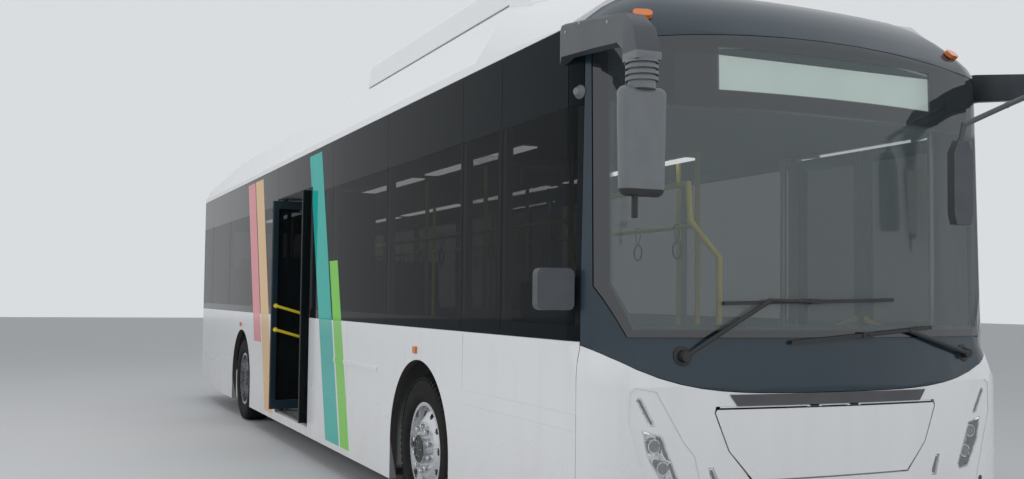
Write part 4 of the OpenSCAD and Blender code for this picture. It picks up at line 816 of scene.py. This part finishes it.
half = SIDEWALL + [(r, groove + s * w) for groove in GROOVES for s, r, w in GROOVE]
tyre_profile = half + [(r, -z) for r, z in reversed(half)]
wheels = {}                     # the frame of each wheel, with Z out along its axle
for end, track, middles in (("front", 1.080, (0.0,)), ("rear", 1.085, (0.0, -TWIN_GAP))):
    carcass, blocks = Shell(), Shell()
    for middle in middles:
        carcass.turned([(r, z + middle) for r, z in tyre_profile], 96, ring=True)
        for s in (1, -1):
            blocks.hull([(r, y, middle + s * z) for r, z in BLOCK for y in (-0.0145, 0.0145)])
    carcass_mesh = carcass.done(40)
    block_mesh = ring.of(blocks, "tyre_rubber", Count=BLOCKS)
    for side, out in SIDES:
        wheels[end, side] = facing((AXLES[end], out * track, HUB_Z), out)
        both = bmesh.new()
        for mesh in (carcass_mesh, block_mesh):
            both.from_mesh(mesh)
        bmesh.ops.transform(both, matrix=wheels[end, side], verts=both.verts)
        mesh = bpy.data.meshes.new("tyre")
        both.to_mesh(mesh)
        both.free()
        node = f"{end}_{'tyre' if end == 'front' else 'tyres'}_{side}"
        made = piece(node + "_tread", mesh, f"wheel_{end}_{side}", "tyre_rubber")
        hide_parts(node)
print("tyres:", len(wheels), "blocks per shoulder:", BLOCKS)

# %% [markdown]
# ## Wheel nuts and hub caps
# Ten nuts hold each wheel, and each carries a bright domed cap. The hub has a dark cover with a rim and a
# ring of small screws, and a valve stem stands beside one of the hand holes. All but the stem are turned from
# profiles in the frame of the wheel, and one cap is repeated in a ring.

# %% Wheel nuts and hub caps
for (end, side), place in wheels.items():
    body = f"wheel_{end}_{side}"
    face, top = (0.118, 0.158) if end == "front" else (-0.145, 0.106)
    cap = Shell().turned([(0, 0.0345), (0.006, 0.0340), (0.0115, 0.0315), (0.0152, 0.0265), (0.0168, 0.018),
                          (0.0178, 0.003), (0.0225, 0.0012), (0.0225, 0.0002)], 20,
                         place=at((0.142, 0, face)))
    caps = ring.of(cap, "chrome", Count=10, First=math.pi / 10)
    caps.transform(place)
    piece(f"nut_caps_{end}_{side}", caps, body, "chrome")
    hub, cover = Shell(), place @ at((0, 0, top))
    hub.turned([(0, 0.002), (0.062, 0.002), (0.066, 0.0005)], 40, 0, cover)
    hub.turned([(0.066, 0.0002), (0.068, 0.0045), (0.084, 0.0045), (0.090, 0.0002)], 40, 0, cover, ring=True)
    for i in range(6):
        screw = cover @ Matrix.Rotation(math.tau * i / 6, 4, "Z") @ at((0.052, 0, 0))
        hub.turned([(0, 0.008), (0.004, 0.0075), (0.005, 0.002)], 8, 1, screw)
    stem = [(0.262, 0.03, face - 0.01), (0.258, 0.03, face + 0.012), (0.250, 0.03, face + 0.028)]
    hub.tube([place @ Vector(p) for p in stem], 0.0045, 10, 1)
    piece(f"hub_cap_{end}_{side}", hub, body, "black_plastic", "chrome")
print("wheels dressed:", len(wheels))

# %% [markdown]
# ## Door leaves
# A leaf is a light alloy frame with a sheet of dark glass bonded on its outside. Rubber lips close the joint
# in the middle and the gap at the post, and two bent bars run across the inside to hold on to. All six leaves
# are the same form in their own frame: u runs from the post to the middle, n from the outer face inward.

# %% Door leaves
LEAF_T = 0.040                  # thickness of a leaf
LEAF_LOW, LEAF_TOP = 0.314, 2.412
STILE = 0.055                   # width of the frame's uprights


def leaf_frame(leaf, width, place):
    """The four members of the alloy frame, and the glass on their outside."""
    back, inner = 0.0062, STILE + 0.0002
    for start, end, low, top in ((0, STILE, LEAF_LOW, LEAF_TOP), (width - STILE, width, LEAF_LOW, LEAF_TOP),
                                 (inner, width - inner, LEAF_LOW, LEAF_LOW + 0.090),
                                 (inner, width - inner, LEAF_TOP - 0.080, LEAF_TOP)):
        leaf.block((start, back, low), (end, LEAF_T, top), 0, 0.003, place)
    leaf.block((0.004, 0.0002, LEAF_LOW + 0.004), (width - 0.004, 0.006, LEAF_TOP - 0.004), 1, 0.0012, place)


def leaf_rubber(leaf, width, place):
    """The lips at the leaf's two edges and the beads along its glass."""
    for edge in (-0.004, width - 0.001):
        leaf.block((edge, 0.004, LEAF_LOW), (edge + 0.005, LEAF_T - 0.004, LEAF_TOP), 2, 0.0018, place)
    for bead in (STILE + 0.0002, width - STILE - 0.0042):
        leaf.block((bead, 0.0062, LEAF_LOW + 0.092), (bead + 0.004, 0.014, LEAF_TOP - 0.082), 2, 0, place)


def leaf_bars(leaf, width, place):
    """Two slanted bars, each with a round foot at both ends."""
    sunk, stand = LEAF_T - 0.004, 0.052
    for z in (1.000, 1.240):
        feet = ((0.040, z - 0.060), (width - 0.040, z + 0.110))
        (u0, z0), (u1, z1) = feet
        leaf.tube(bent([(u0, sunk, z0), (u0, stand, z0), (u1, stand, z1), (u1, sunk, z1)], 0.010, 4),
                  0.0148, 14, 3, place)
        for u, foot_z in feet:
            leaf.turned([(0.024, LEAF_T - 0.0002), (0.024, LEAF_T + 0.003), (0.016, LEAF_T + 0.005),
                         (0.014, LEAF_T - 0.0002)], 20, 3, place @ facing((u, 0, foot_z), 1), ring=True)


print("height of a leaf:", round(LEAF_TOP - LEAF_LOW, 3))

# %% [markdown]
# ## Leaves in their doorways
# Each leaf is placed by its corner at the post and by the directions of u and n, so one form serves all six.
# A front leaf is a mirror image of a rear one, and the shell turns its faces outward again when it is done.

# %% Leaves in their doorways
leaves = {  # corner on the outer face at the post, u axis, n axis, width
    "right_mid_rear": ((-1.170, -0.637), (0, -1), (1, 0), 0.678),
    "right_mid_front": ((0.160, -0.637), (0, -1), (-1, 0), 0.678),
    "left_mid_rear": ((-1.195, 1.25), (1, 0), (0, -1), 0.678),
    "left_mid_front": ((0.185, 1.25), (-1, 0), (0, -1), 0.678),
    "left_entry_rear": ((3.925, 1.25), (1, 0), (0, -1), 0.603),
    "left_entry_front": ((5.155, 1.25), (-1, 0), (0, -1), 0.603),
}
for name, (corner, u, n, width) in leaves.items():
    place = Matrix(((u[0], n[0], 0, corner[0]), (u[1], n[1], 0, corner[1]), (0, 0, 1, 0), (0, 0, 0, 1)))
    leaf = Shell()
    for dress in (leaf_frame, leaf_rubber, leaf_bars):
        dress(leaf, width, place)
    made = piece("leaf_glazed_" + name, leaf, f"leaf_{name}_body", "slate_paint", "door_glass",
                 "black_rubber", "yellow_rail_paint")
    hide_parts("leaf_" + name)
for name in leaves:
    smooth_copy("post_" + name, "bare_steel")
print("leaves:", len(leaves))

# %% [markdown]
# ## Doorways
# A rubber frame lines each doorway, a ribbed plate covers its sill, and the steps inside have yellow edges.
# One rib is modelled and repeated in a row, as often as the doorway has room for.

# %% Doorways
RIB_STEP = 0.024
MID_DOOR, ENTRY_DOOR = (NOSE - 6.920, NOSE - 5.530), (NOSE - 1.800, NOSE - 0.560)
surround, sills = Shell(), Shell()
for side, (rear, front) in ((-1, MID_DOOR), (1, MID_DOOR), (1, ENTRY_DOOR)):
    outer, inner = side * 1.2495, side * 1.2385
    for a, b, low, high in ((rear - 0.014, rear - 0.001, 0.262, 2.445),
                            (front + 0.001, front + 0.014, 0.262, 2.445),
                            (rear - 0.014, front + 0.014, 2.4352, 2.447)):
        surround.block((a, inner, low), (b, outer, high), 0, 0.002)
    rib = Shell().block((rear + 0.03, side * 1.165, 0.2902), (rear + 0.036, side * 1.235, 0.2925), 0, 0.0008)
    count = int((front - rear - 0.06) / RIB_STEP)
    sills.add(row.of(rib, "bare_steel", Count=count, Step=(RIB_STEP, 0.0, 0.0)))
piece("doorway_rubber", surround, "body", "black_rubber")
piece("sill_ribs", sills, "body", "bare_steel")
nosings = Shell()
for back, z in ((7.080, 0.440), (7.360, 0.590), (7.640, 0.740)):
    nosings.block((NOSE - back - 0.040, -0.44, z), (NOSE - back - 0.001, 0.44, z + 0.0025), 0, 0.0008)
piece("step_edges", nosings, "body", "yellow_rail_paint")
print("doorways dressed")

# %% [markdown]
# ## Side glass joints and panel locks
# The panes are bonded side by side with a narrow black joint between them. The skirt below is made of panels
# that are held by flush round locks, which keep clear of the wheel arches. A joint is a thin block let into
# the glass and a lock is a small turned disc, because both show as little more than a line and a dot.

# %% Side glass joints and panel locks
BOTH_SIDES = (3.255, 4.774, 8.212, 9.800, 11.171)
joints = Shell()
for side, backs in ((-1, (1.204, 1.786, *BOTH_SIDES)), (1, BOTH_SIDES)):
    for back in backs:
        joints.block((NOSE - back - 0.006, side * 1.236, 1.262), (NOSE - back + 0.006, side * 1.2478, 2.376))
piece("pane_joints", joints, "body", "black_rubber")
locks = Shell()
for side in (-1, 1):
    for back in (2.00, 4.00, 5.05, 7.35, 9.35, 9.95, 10.42, 11.40):
        for z in (0.30, 0.76):
            if all(math.hypot(NOSE - back - axle, z - HUB_Z) >= 0.64 for axle in AXLES.values()):
                locks.turned([(0, 0.0004), (0.0035, 0.0004), (0.004, 0.0011), (0.011, 0.0012),
                              (0.012, -0.0005)], 20, 0, facing((NOSE - back, side * 1.2487, z), side))
piece("panel_locks", locks, "body", "bare_steel")
print("joints and locks done")

# %% [markdown]
# ## Head lamps
# Behind each clear front cover sit two round projectors on a faceted reflector. Slim light guides run along
# the slanted housings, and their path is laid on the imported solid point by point.

# %% Head lamps
GUIDES = (((1.046, 1.004), (0.981, 0.893)), ((0.686, 0.682), (0.660, 0.634), (0.657, 0.592)),
          ((0.915, 0.756), (0.890, 0.720), (0.856, 0.628)), ((1.020, 0.858), (0.945, 0.834)))
lamp_tree = surface_tree("head_lamps")
projectors, guides = Shell(), Shell()
for side in (-1, 1):
    for y, z in ((0.962, 0.792), (0.919, 0.690)):
        place = on_nose(lamp_tree, side * y, z)
        projectors.turned([(0, 0.0038), (0.012, 0.0034), (0.021, 0.0020), (0.024, 0.0004)], 32, 1, place)
        projectors.turned([(0.0245, 0.0004), (0.026, 0.0040), (0.0325, 0.0040), (0.0345, 0.0004)], 32, 0,
                          place, ring=True)
    for corners in GUIDES:
        stops = [Vector((0, *a)).lerp(Vector((0, *b)), t / 6) for a, b in zip(corners, corners[1:])
                 for t in range(7)]
        stops = dict.fromkeys(tuple(stop) for stop in stops)
        guides.tube([on_nose(lamp_tree, side * y, z).translation for _, y, z in stops], 0.0042, 10)
piece("projectors", projectors, "body", "chrome", "smoked_trim")
piece("light_guides", guides, "body", "light_guide")
print("head lamps dressed")

# %% [markdown]
# ## Rear lamps
# Four round red lamps stand above each other at each rear corner, each in a raised dark rim. A turned ring
# gives the rim, because it is the same all the way round and closes on itself.

# %% Rear lamps
rims = Shell()
for side in (-1, 1):
    for i in range(4):
        place = at((-6.2602, side * 1.110, 0.980 + 0.165 * i)) @ Matrix.Rotation(math.radians(-90), 4, "Y")
        rims.turned([(0.0625, -0.006), (0.0625, 0.0185), (0.0665, 0.0190), (0.070, 0.006), (0.070, -0.006)],
                    40, 0, place, ring=True)
piece("rear_lamp_rims", rims, "body", "black_plastic")
print("rear lamps dressed")

# %% [markdown]
# ## Nose
# Low on the nose sit round parking sensors, and each wiper turns on a domed pivot with a collar. A line from
# the front finds the place of each. Where it misses the windscreen, the pivot stands on the mask below it.

# %% Nose
panel_tree, mask_tree, glass_tree = (surface_tree(n) for n in ("front_panel", "front_mask", "windscreen"))
nose_bits = Shell()
for y, z in ((-0.78, 0.47), (-0.30, 0.43), (0.30, 0.43), (0.78, 0.47), (1.02, 0.545)):
    nose_bits.turned([(0, 0.0022), (0.009, 0.0020), (0.011, 0.0008), (0.0125, 0.0022), (0.0145, 0.0018),
                      (0.015, 0)], 24, 0, on_nose(panel_tree, y, z) @ at((0, 0, -0.001)))
for y, z in ((-0.820, 1.200), (0.925, 1.198)):
    on_glass = met(glass_tree, (AHEAD_OF_NOSE, y, z), (-1, 0, 0))
    pivot = on_nose(glass_tree if on_glass else mask_tree, y, z)
    nose_bits.turned([(0, 0.0355), (0.012, 0.0350), (0.019, 0.0325), (0.0215, 0.0295), (0.0215, 0.028)], 28,
                     0, pivot)
    nose_bits.turned([(0.026, 0.0005), (0.026, 0.004), (0.040, 0.006), (0.046, 0.004), (0.047, 0.0005)], 36,
                     0, pivot, ring=True)
piece("nose_details", nose_bits, "body", "black_plastic")
print("nose dressed")

# %% [markdown]
# ## Flap seal and joint cover
# A grey rubber seal runs round the opening of the front flap, so that its joint is closed without touching
# the flap. Above the flap, a thin strip in three lengths covers the gap and leaves room for the hinges.

# %% Flap seal and joint cover
OPENING = [(-0.647, 0.900), (-0.591, 0.762), (-0.465, 0.624), (0.465, 0.624), (0.591, 0.762), (0.647, 0.900)]
flap_tree = surface_tree("front_flap")
path = []
for a, b in zip(OPENING, OPENING[1:]):
    a, b = Vector((0, *a)), Vector((0, *b))
    out = Vector((1, 0, 0)).cross(b - a).normalized() * -1
    count = max(2, round((b - a).length / 0.08))
    for p in (a.lerp(b, (i + 0.5) / count) for i in range(count)):
        inward, outward = p - out * 0.006, p + out * 0.004
        skin = met(flap_tree, (AHEAD_OF_NOSE, inward.y, inward.z), (-1, 0, 0))
        path.append(Vector((skin.x - 0.0125, outward.y, outward.z)))


def nose_at(y):
    """The nose's place just above the flap, carried on from the flap's own slope."""
    low, high = (met(flap_tree, (AHEAD_OF_NOSE, y, z), (-1, 0, 0)).x for z in (0.900, 0.940))
    return high + (high - low) * 0.6


cover = Shell()
for start, end in ((-0.640, -0.150), (-0.090, 0.090), (0.150, 0.640)):
    count = round((end - start) / 0.06)
    stops = [start + (end - start) * i / count for i in range(count + 1)]
    for pair in zip(stops, stops[1:]):
        cover.hull([(nose_at(y) - depth, y, z) for y in pair for depth in (0.0015, 0.007)
                    for z in (0.9607, 0.9672)])
piece("flap_seal", Shell().tube(path, 0.005, 10), "body", "inner_lining")
piece("flap_joint_cover", cover, "body", "white_paint")
print("seal points:", len(path))

# %% [markdown]
# ## Bay behind the flap
# The open flap shows a shallow bay: a ribbed steel bulkhead under the dashboard, with the washer tank and a
# box for fuses on it. The bulkhead is split where the driver's platform meets the low floor. Blocks and
# turned necks are enough here, because the bay shows only when the flap is open.

# %% Bay behind the flap
BULKHEAD = 5.212          # front face of the bulkhead
BAY_TOP = 0.8985
bulkhead, service_bay = Shell(), Shell()
for start, end, foot in ((-1.080, -0.436, 0.4615), (-0.436, 0.610, 0.2915)):
    bulkhead.block((BULKHEAD - 0.012, start, foot), (BULKHEAD, end, BAY_TOP))
    count = round((end - start) / 0.11)
    for y in (start + (end - start) * (i + 0.5) / count for i in range(count)):
        bulkhead.hull([(BULKHEAD + out, y + side * half_width, z) for side in (-1, 1)
                       for out, half_width, short in ((-0.001, 0.034, 0.04), (0.011, 0.022, 0.06))
                       for z in (foot + short, BAY_TOP - short)])
piece("front_bulkhead", bulkhead, "body", "chassis_paint")
service_bay.block((BULKHEAD + 0.012, 0.16, 0.64), (BULKHEAD + 0.150, 0.44, 0.850), 1, 0.018)
service_bay.turned([(0, 0), (0.030, 0), (0.030, 0.024), (0.026, 0.028), (0, 0.028)], 24, 0,
                   at((BULKHEAD + 0.080, 0.30, 0.851)))
service_bay.block((BULKHEAD + 0.012, -0.38, 0.66), (BULKHEAD + 0.090, -0.06, 0.860), 0, 0.008)
for y in (-0.31, -0.22, -0.13):
    service_bay.turned([(0, -0.012), (0.016, -0.012), (0.016, 0.016), (0.011, 0.020), (0.011, 0.040),
                        (0, 0.040)], 20, 0, at((BULKHEAD + 0.055, y, 0.620)))
piece("service_bay_parts", service_bay, "body", "black_plastic", "inner_lining")
print("bay dressed")

# %% [markdown]
# ## Roof
# Two covers stand behind the front pod. Eight round fans look up through them under wire guards, and rows of
# screws hold the covers. One bar of a guard is repeated in a ring, and its round wires are turned.

# %% Roof
COVERS, COVER_LENGTH = (4.800, 7.450), 2.350
guards, wells, screws = Shell(), Shell(), Shell()
bar = Shell().block((0.028, -0.0022, 0.0), (0.222, 0.0022, 0.005), 0, 0.0008)
guard_bars = ring.of(bar, "bare_steel", Count=16)
head = Shell().turned([(0, 0.004), (0.006, 0.0035), (0.010, 0.0015), (0.0105, 0.0)], 14)
heads = row.of(head, "bare_steel", Count=9, Step=(-0.27, 0.0, 0.0))
for front in COVERS:
    for x in (NOSE - front - part * COVER_LENGTH for part in (0.25, 0.75)):
        for y in (-0.43, 0.43):
            guards.add(guard_bars, at((x, y, 3.166)))
            for r in (0.032, 0.075, 0.120, 0.165, 0.205):
                wire = [(r - 0.002, 0.0), (r - 0.002, 0.0045), (r + 0.002, 0.0045), (r + 0.002, 0.0)]
                guards.turned(wire, 40, 0, at((x, y, 3.166)), ring=True)
            wells.turned([(0, 0.006), (0.055, 0.006), (0.06, 0.0005), (0.224, 0.0005), (0.224, -0.003),
                          (0, -0.003)], 40, 0, at((x, y, 3.1515)))
    for y in (-0.86, 0.86):
        screws.add(heads, at((NOSE - front - 0.095, y, 3.1502)))
piece("fan_guards", guards, "body", "bare_steel")
piece("fan_wells", wells, "body", "black_plastic")
piece("cover_screws", screws, "body", "bare_steel")
print("roof dressed")

# %% [markdown]
# ## Rear lid
# The rear lid is a frame with a field of louvres that let the drive's cooling air out. One louvre is modelled
# and repeated up the field, with three posts in front. The black sheet behind the louvres is painted shade that
# stands for the dark drive bay seen between them.

# %% Rear lid
LID_OUT, LID_IN = -6.280, -6.250
lid = Shell()
for y0, y1, z0, z1 in ((-0.900, -0.620, 0.560, 1.560), (0.620, 0.900, 0.560, 1.560),
                       (-0.6198, 0.6198, 0.560, 0.720), (-0.6198, 0.6198, 1.210, 1.560)):
    lid.block((LID_OUT, y0, z0), (LID_IN, y1, z1), 0, 0.0015)
# a black sheet behind the louvres: painted shade for the dark bay seen between the slats
lid.block((-6.256, -0.622, 0.718), (-6.2515, 0.622, 1.212), 1, 0)
for y in (-0.62, -0.205, 0.205, 0.61):
    lid.block((-6.2785, y, 0.722), (-6.257, y + 0.010, 1.208), 0, 0.001)
slat = Shell().hull([(x, y, z) for x, z0, z1 in ((-6.2785, 0.735, 0.738), (-6.258, 0.757, 0.760))
                     for y in (-0.619, 0.619) for z in (z0, z1)])
lid.add(row.of(slat, "white_paint", Count=15, Step=(0.0, 0.0, 0.031)))
for y in (-0.56, 0.56):
    for out in (-1, 1):
        pin = [(LID_OUT + 0.006, y + out * reach, 1.566) for reach in (0.02, 0.075)]
        lid.tube(pin, 0.0052, 12, 2)
made = piece("rear_lid_louvred", lid, "rear_lid_body", "white_paint", "black_plastic", "bare_steel")
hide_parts("rear_lid")
print("rear lid dressed")

# %% [markdown]
# ## Rear capping
# A painted strip bridges the gap between the roof and the rear wall. Both edges curve, so its height is
# measured on each of them, stop by stop across the bus.

# %% Rear capping
roof_tree, wall_tree = surface_tree("roof_shell"), surface_tree("rear_wall")
stops = []
for y in (-1.235 + i * 0.0494 for i in range(51)):
    wall, roof = (met(tree, (x, y, 4), (0, 0, -1)) for tree, x in ((wall_tree, -6.236), (roof_tree, -6.176)))
    if wall and roof and min(wall.z, roof.z) > 2.6:
        stops.append((y, wall.z, roof.z))
capping = Shell()
for pair in zip(stops, stops[1:]):
    capping.hull([(x, y, z - drop) for y, wall_z, roof_z in pair
                  for x, z in ((-6.2295, wall_z), (-6.1805, roof_z)) for drop in (0.0005, 0.020)])
piece("rear_capping", capping, "body", "white_paint")
print("capping from", round(stops[0][0], 2), "to", round(stops[-1][0], 2))

# %% [markdown]
# ## Passenger seats
# Every passenger seat is a moulded shell with a thin cloth pad on its cushion and on its back. A pad is a
# softly domed cushion: a flat cage that a subdivision surface rounds off. The pads are so thin and tight that
# a cloth simulation would change nothing that shows.

# %% Passenger seats
smooth_copy("passenger_seats", "seat_shell")
smooth_copy("driver_seat", "black_plastic")


def pad(shell, size, place, count=24):
    """A domed pad with its base on the local XY plane, its middle higher than its edges."""
    a, b, t = size[0] / 2, size[1] / 2, size[2]
    rings = [(1.0, 0.0005), (1.0, 0.5 * t), (0.90, 0.95 * t), (0.55, 1.05 * t)]
    points = []
    for grow, z in rings:
        for i in range(count):
            c, s = math.cos(math.tau * i / count), math.sin(math.tau * i / count)
            square = min(1 / max(abs(c), abs(s)), 1.22)
            points.append((a * grow * c * square, b * grow * s * square, z))
    shell.form(points, joined(len(rings), count), 0, place)


def seat_back(tree, x, y, low_z, high_z):
    """A frame on the front of a seat back: local X runs up it, local Z stands out of it."""
    low, high = (met(tree, (x, y, z), (-1, 0, 0)) for z in (low_z, high_z))
    rise = (high - low).normalized()
    out = rise.cross(Vector((0, 1, 0)))
    out = out if out.x > 0 else -out
    place = Matrix((rise, out.cross(rise), out)).transposed().to_4x4()
    place.translation = (low + high) / 2
    return place


def padded(name, pads, levels):
    """The pads as one rounded piece of cloth."""
    made = piece(name, pads, "body", "seat_cloth")
    made.modifiers.new("round", "SUBSURF").levels = levels
    applied(made)


ROWS = [(8.300, 1.260), (8.890, 1.260), (9.850, 1.180), (10.650, 1.180)]   # place of the back, cushion's top
seats = [(back, top, y) for back, top in ROWS for y in (-0.975, -0.560, 0.560, 0.975)]
seats += [(11.250, 1.180, y) for y in (-0.92, -0.46, 0, 0.46, 0.92)]
seat_tree = surface_tree("passenger_seats")
pads = Shell()
for back, top, y in seats:
    x = NOSE - back
    pad(pads, (0.38, 0.36, 0.022), at((x - 0.215, y, top)))
    pad(pads, (0.50, 0.34, 0.020), seat_back(seat_tree, x - 0.10, y, top + 0.16, top + 0.50))
padded("seat_pads", pads, 1)
print("seats:", len(seats))

# %% [markdown]
# ## Driver's seat
# The driver's seat has a thicker cushion and back and a small headrest, made in the same way. They are
# rounded one level more, because a thick cushion shows its corners sooner than a thin pad.

# %% Driver's seat
DRIVER_Y = -0.720
cushions = Shell()
pad(cushions, (0.41, 0.46, 0.045), at((4.492, DRIVER_Y, 0.850)))
pad(cushions, (0.10, 0.24, 0.030), at((4.210, DRIVER_Y, 1.550)))
pad(cushions, (0.60, 0.44, 0.040), seat_back(surface_tree("driver_seat"), 4.5, DRIVER_Y, 0.95, 1.50))
padded("driver_cushions", cushions, 2)
print("driver's seat dressed")

# %% [markdown]
# ## Saloon
# Straps hang from the two rails along the ceiling, and two strips of light run the length of the saloon. The
# strap is a loop of webbing round the rail with a moulded grip, repeated along the rail.

# %% Saloon
strap, straps = Shell(), Shell()
for side in (1, -1):
    webbing = [(0, 0, 1.972), (0, side * 0.024, 1.968), (0, side * 0.022, 1.930), (0, side * 0.006, 1.850)]
    strap.tube(bent(webbing, 0.008, 3), 0.004, 8)
angles = [math.tau * i / 24 for i in range(25)]
strap.tube([(math.sin(a) * 0.052, 0, 1.795 + math.cos(a) * 0.055) for a in angles], 0.0075, 10)
strap_row = row.of(strap, "black_rubber", Count=14, Step=(-0.52, 0.0, 0.0))
for y in (-0.47, 0.47):
    straps.add(strap_row, at((NOSE - 2.15, y, 0)))
piece("grab_straps", straps, "body", "black_rubber")
lights = Shell()
for y in (-0.62, 0.62):
    for back in (2.2, 4.4, 6.6, 8.8):
        lights.block((NOSE - back - 1.9, y - 0.055, 2.436), (NOSE - back, y + 0.055, 2.4448), 0, 0.003)
piece("ceiling_lights", lights, "body", "strip_light")
print("saloon dressed")

# %% [markdown]
# ## Driver's place
# The dashboard carries a hooded cluster in front of the wheel and a row of switches beside it. A ray from
# above measures how high the dashboard is, so that both stand on it.

# %% Driver's place
desk = Shell()
top = met(surface_tree("dashboard"), (5.30, DRIVER_Y, 2.0), (0, 0, -1)).z
desk.hull([(x, y, top) for x in (5.22, 5.40) for y in (-0.92, -0.52)]
          + [(x, y, top + rise) for x, rise in ((5.25, 0.055), (5.40, 0.045)) for y in (-0.88, -0.56)])
for y in (-0.40 + i * 0.05 for i in range(7)):
    desk.block((5.205, y, top), (5.235, y + 0.038, top + 0.008), 1, 0.002)
piece("instrument_hood", desk, "body", "black_plastic", "grey_plastic")
print("driver's place dressed")

# %% [markdown]
# ## Studio
# A plain pale floor and a pale surrounding, which shows in metal and glass too. It lights the bus less than
# it shows, and soft light from above, from the kerb side and from ahead does the rest.

# %% Studio
REACH = 60
floor_mesh = bpy.data.meshes.new("studio_floor")
floor_mesh.from_pydata([(-REACH, -REACH, 0), (REACH, -REACH, 0), (REACH, REACH, 0), (-REACH, REACH, 0)],
                       [], [(0, 1, 2, 3)])
studio_floor = bpy.data.objects.new("studio_floor", floor_mesh)
bpy.context.scene.collection.objects.link(studio_floor)
ground = finish("studio_floor", (0.62, 0.63, 0.64), 0.6)
ground.mottle(2.0, (0.57, 0.58, 0.59), (0.60, 0.61, 0.62))
floor_mesh.materials.append(ground.material)

world = bpy.data.worlds.new("studio")
bpy.context.scene.world = world
world.use_nodes = True
sky = Tree(world.node_tree)
seen, through, mirrored = (sky.node("ShaderNodeLightPath", output=f"Is {ray} Ray")
                           for ray in ("Camera", "Transmission", "Glossy"))
pale = sky.mix(seen.most(through).most(mirrored), (0.42, 0.43, 0.45), (0.70, 0.72, 0.74))
world.node_tree.links.new(pale.socket, world.node_tree.nodes["Background"].inputs["Color"])


def softbox(name, place, aim, size, power):
    """A soft lamp that faces its aim and stays out of reflections."""
    lamp = bpy.data.lights.new(name, "AREA")
    lamp.shape = "RECTANGLE"
    lamp.size, lamp.size_y = size
    lamp.energy = power
    box = bpy.data.objects.new(name, lamp)
    towards = (Vector(aim) - Vector(place)).to_track_quat("-Z", "Y").to_matrix().to_4x4()
    box.matrix_world = at(place) @ towards
    box.visible_glossy = False
    bpy.context.scene.collection.objects.link(box)


softbox("overhead", (0, -1, 9), (0, 0, 0), (16, 8), 340)
softbox("kerb_side", (4, -11, 5), (1, 0, 1.2), (12, 5), 400)
softbox("ahead", (14, 3, 5), (5, 0, 1.5), (7, 5), 260)
bpy.context.scene.view_settings.view_transform = "Standard"
print("lights: 3")
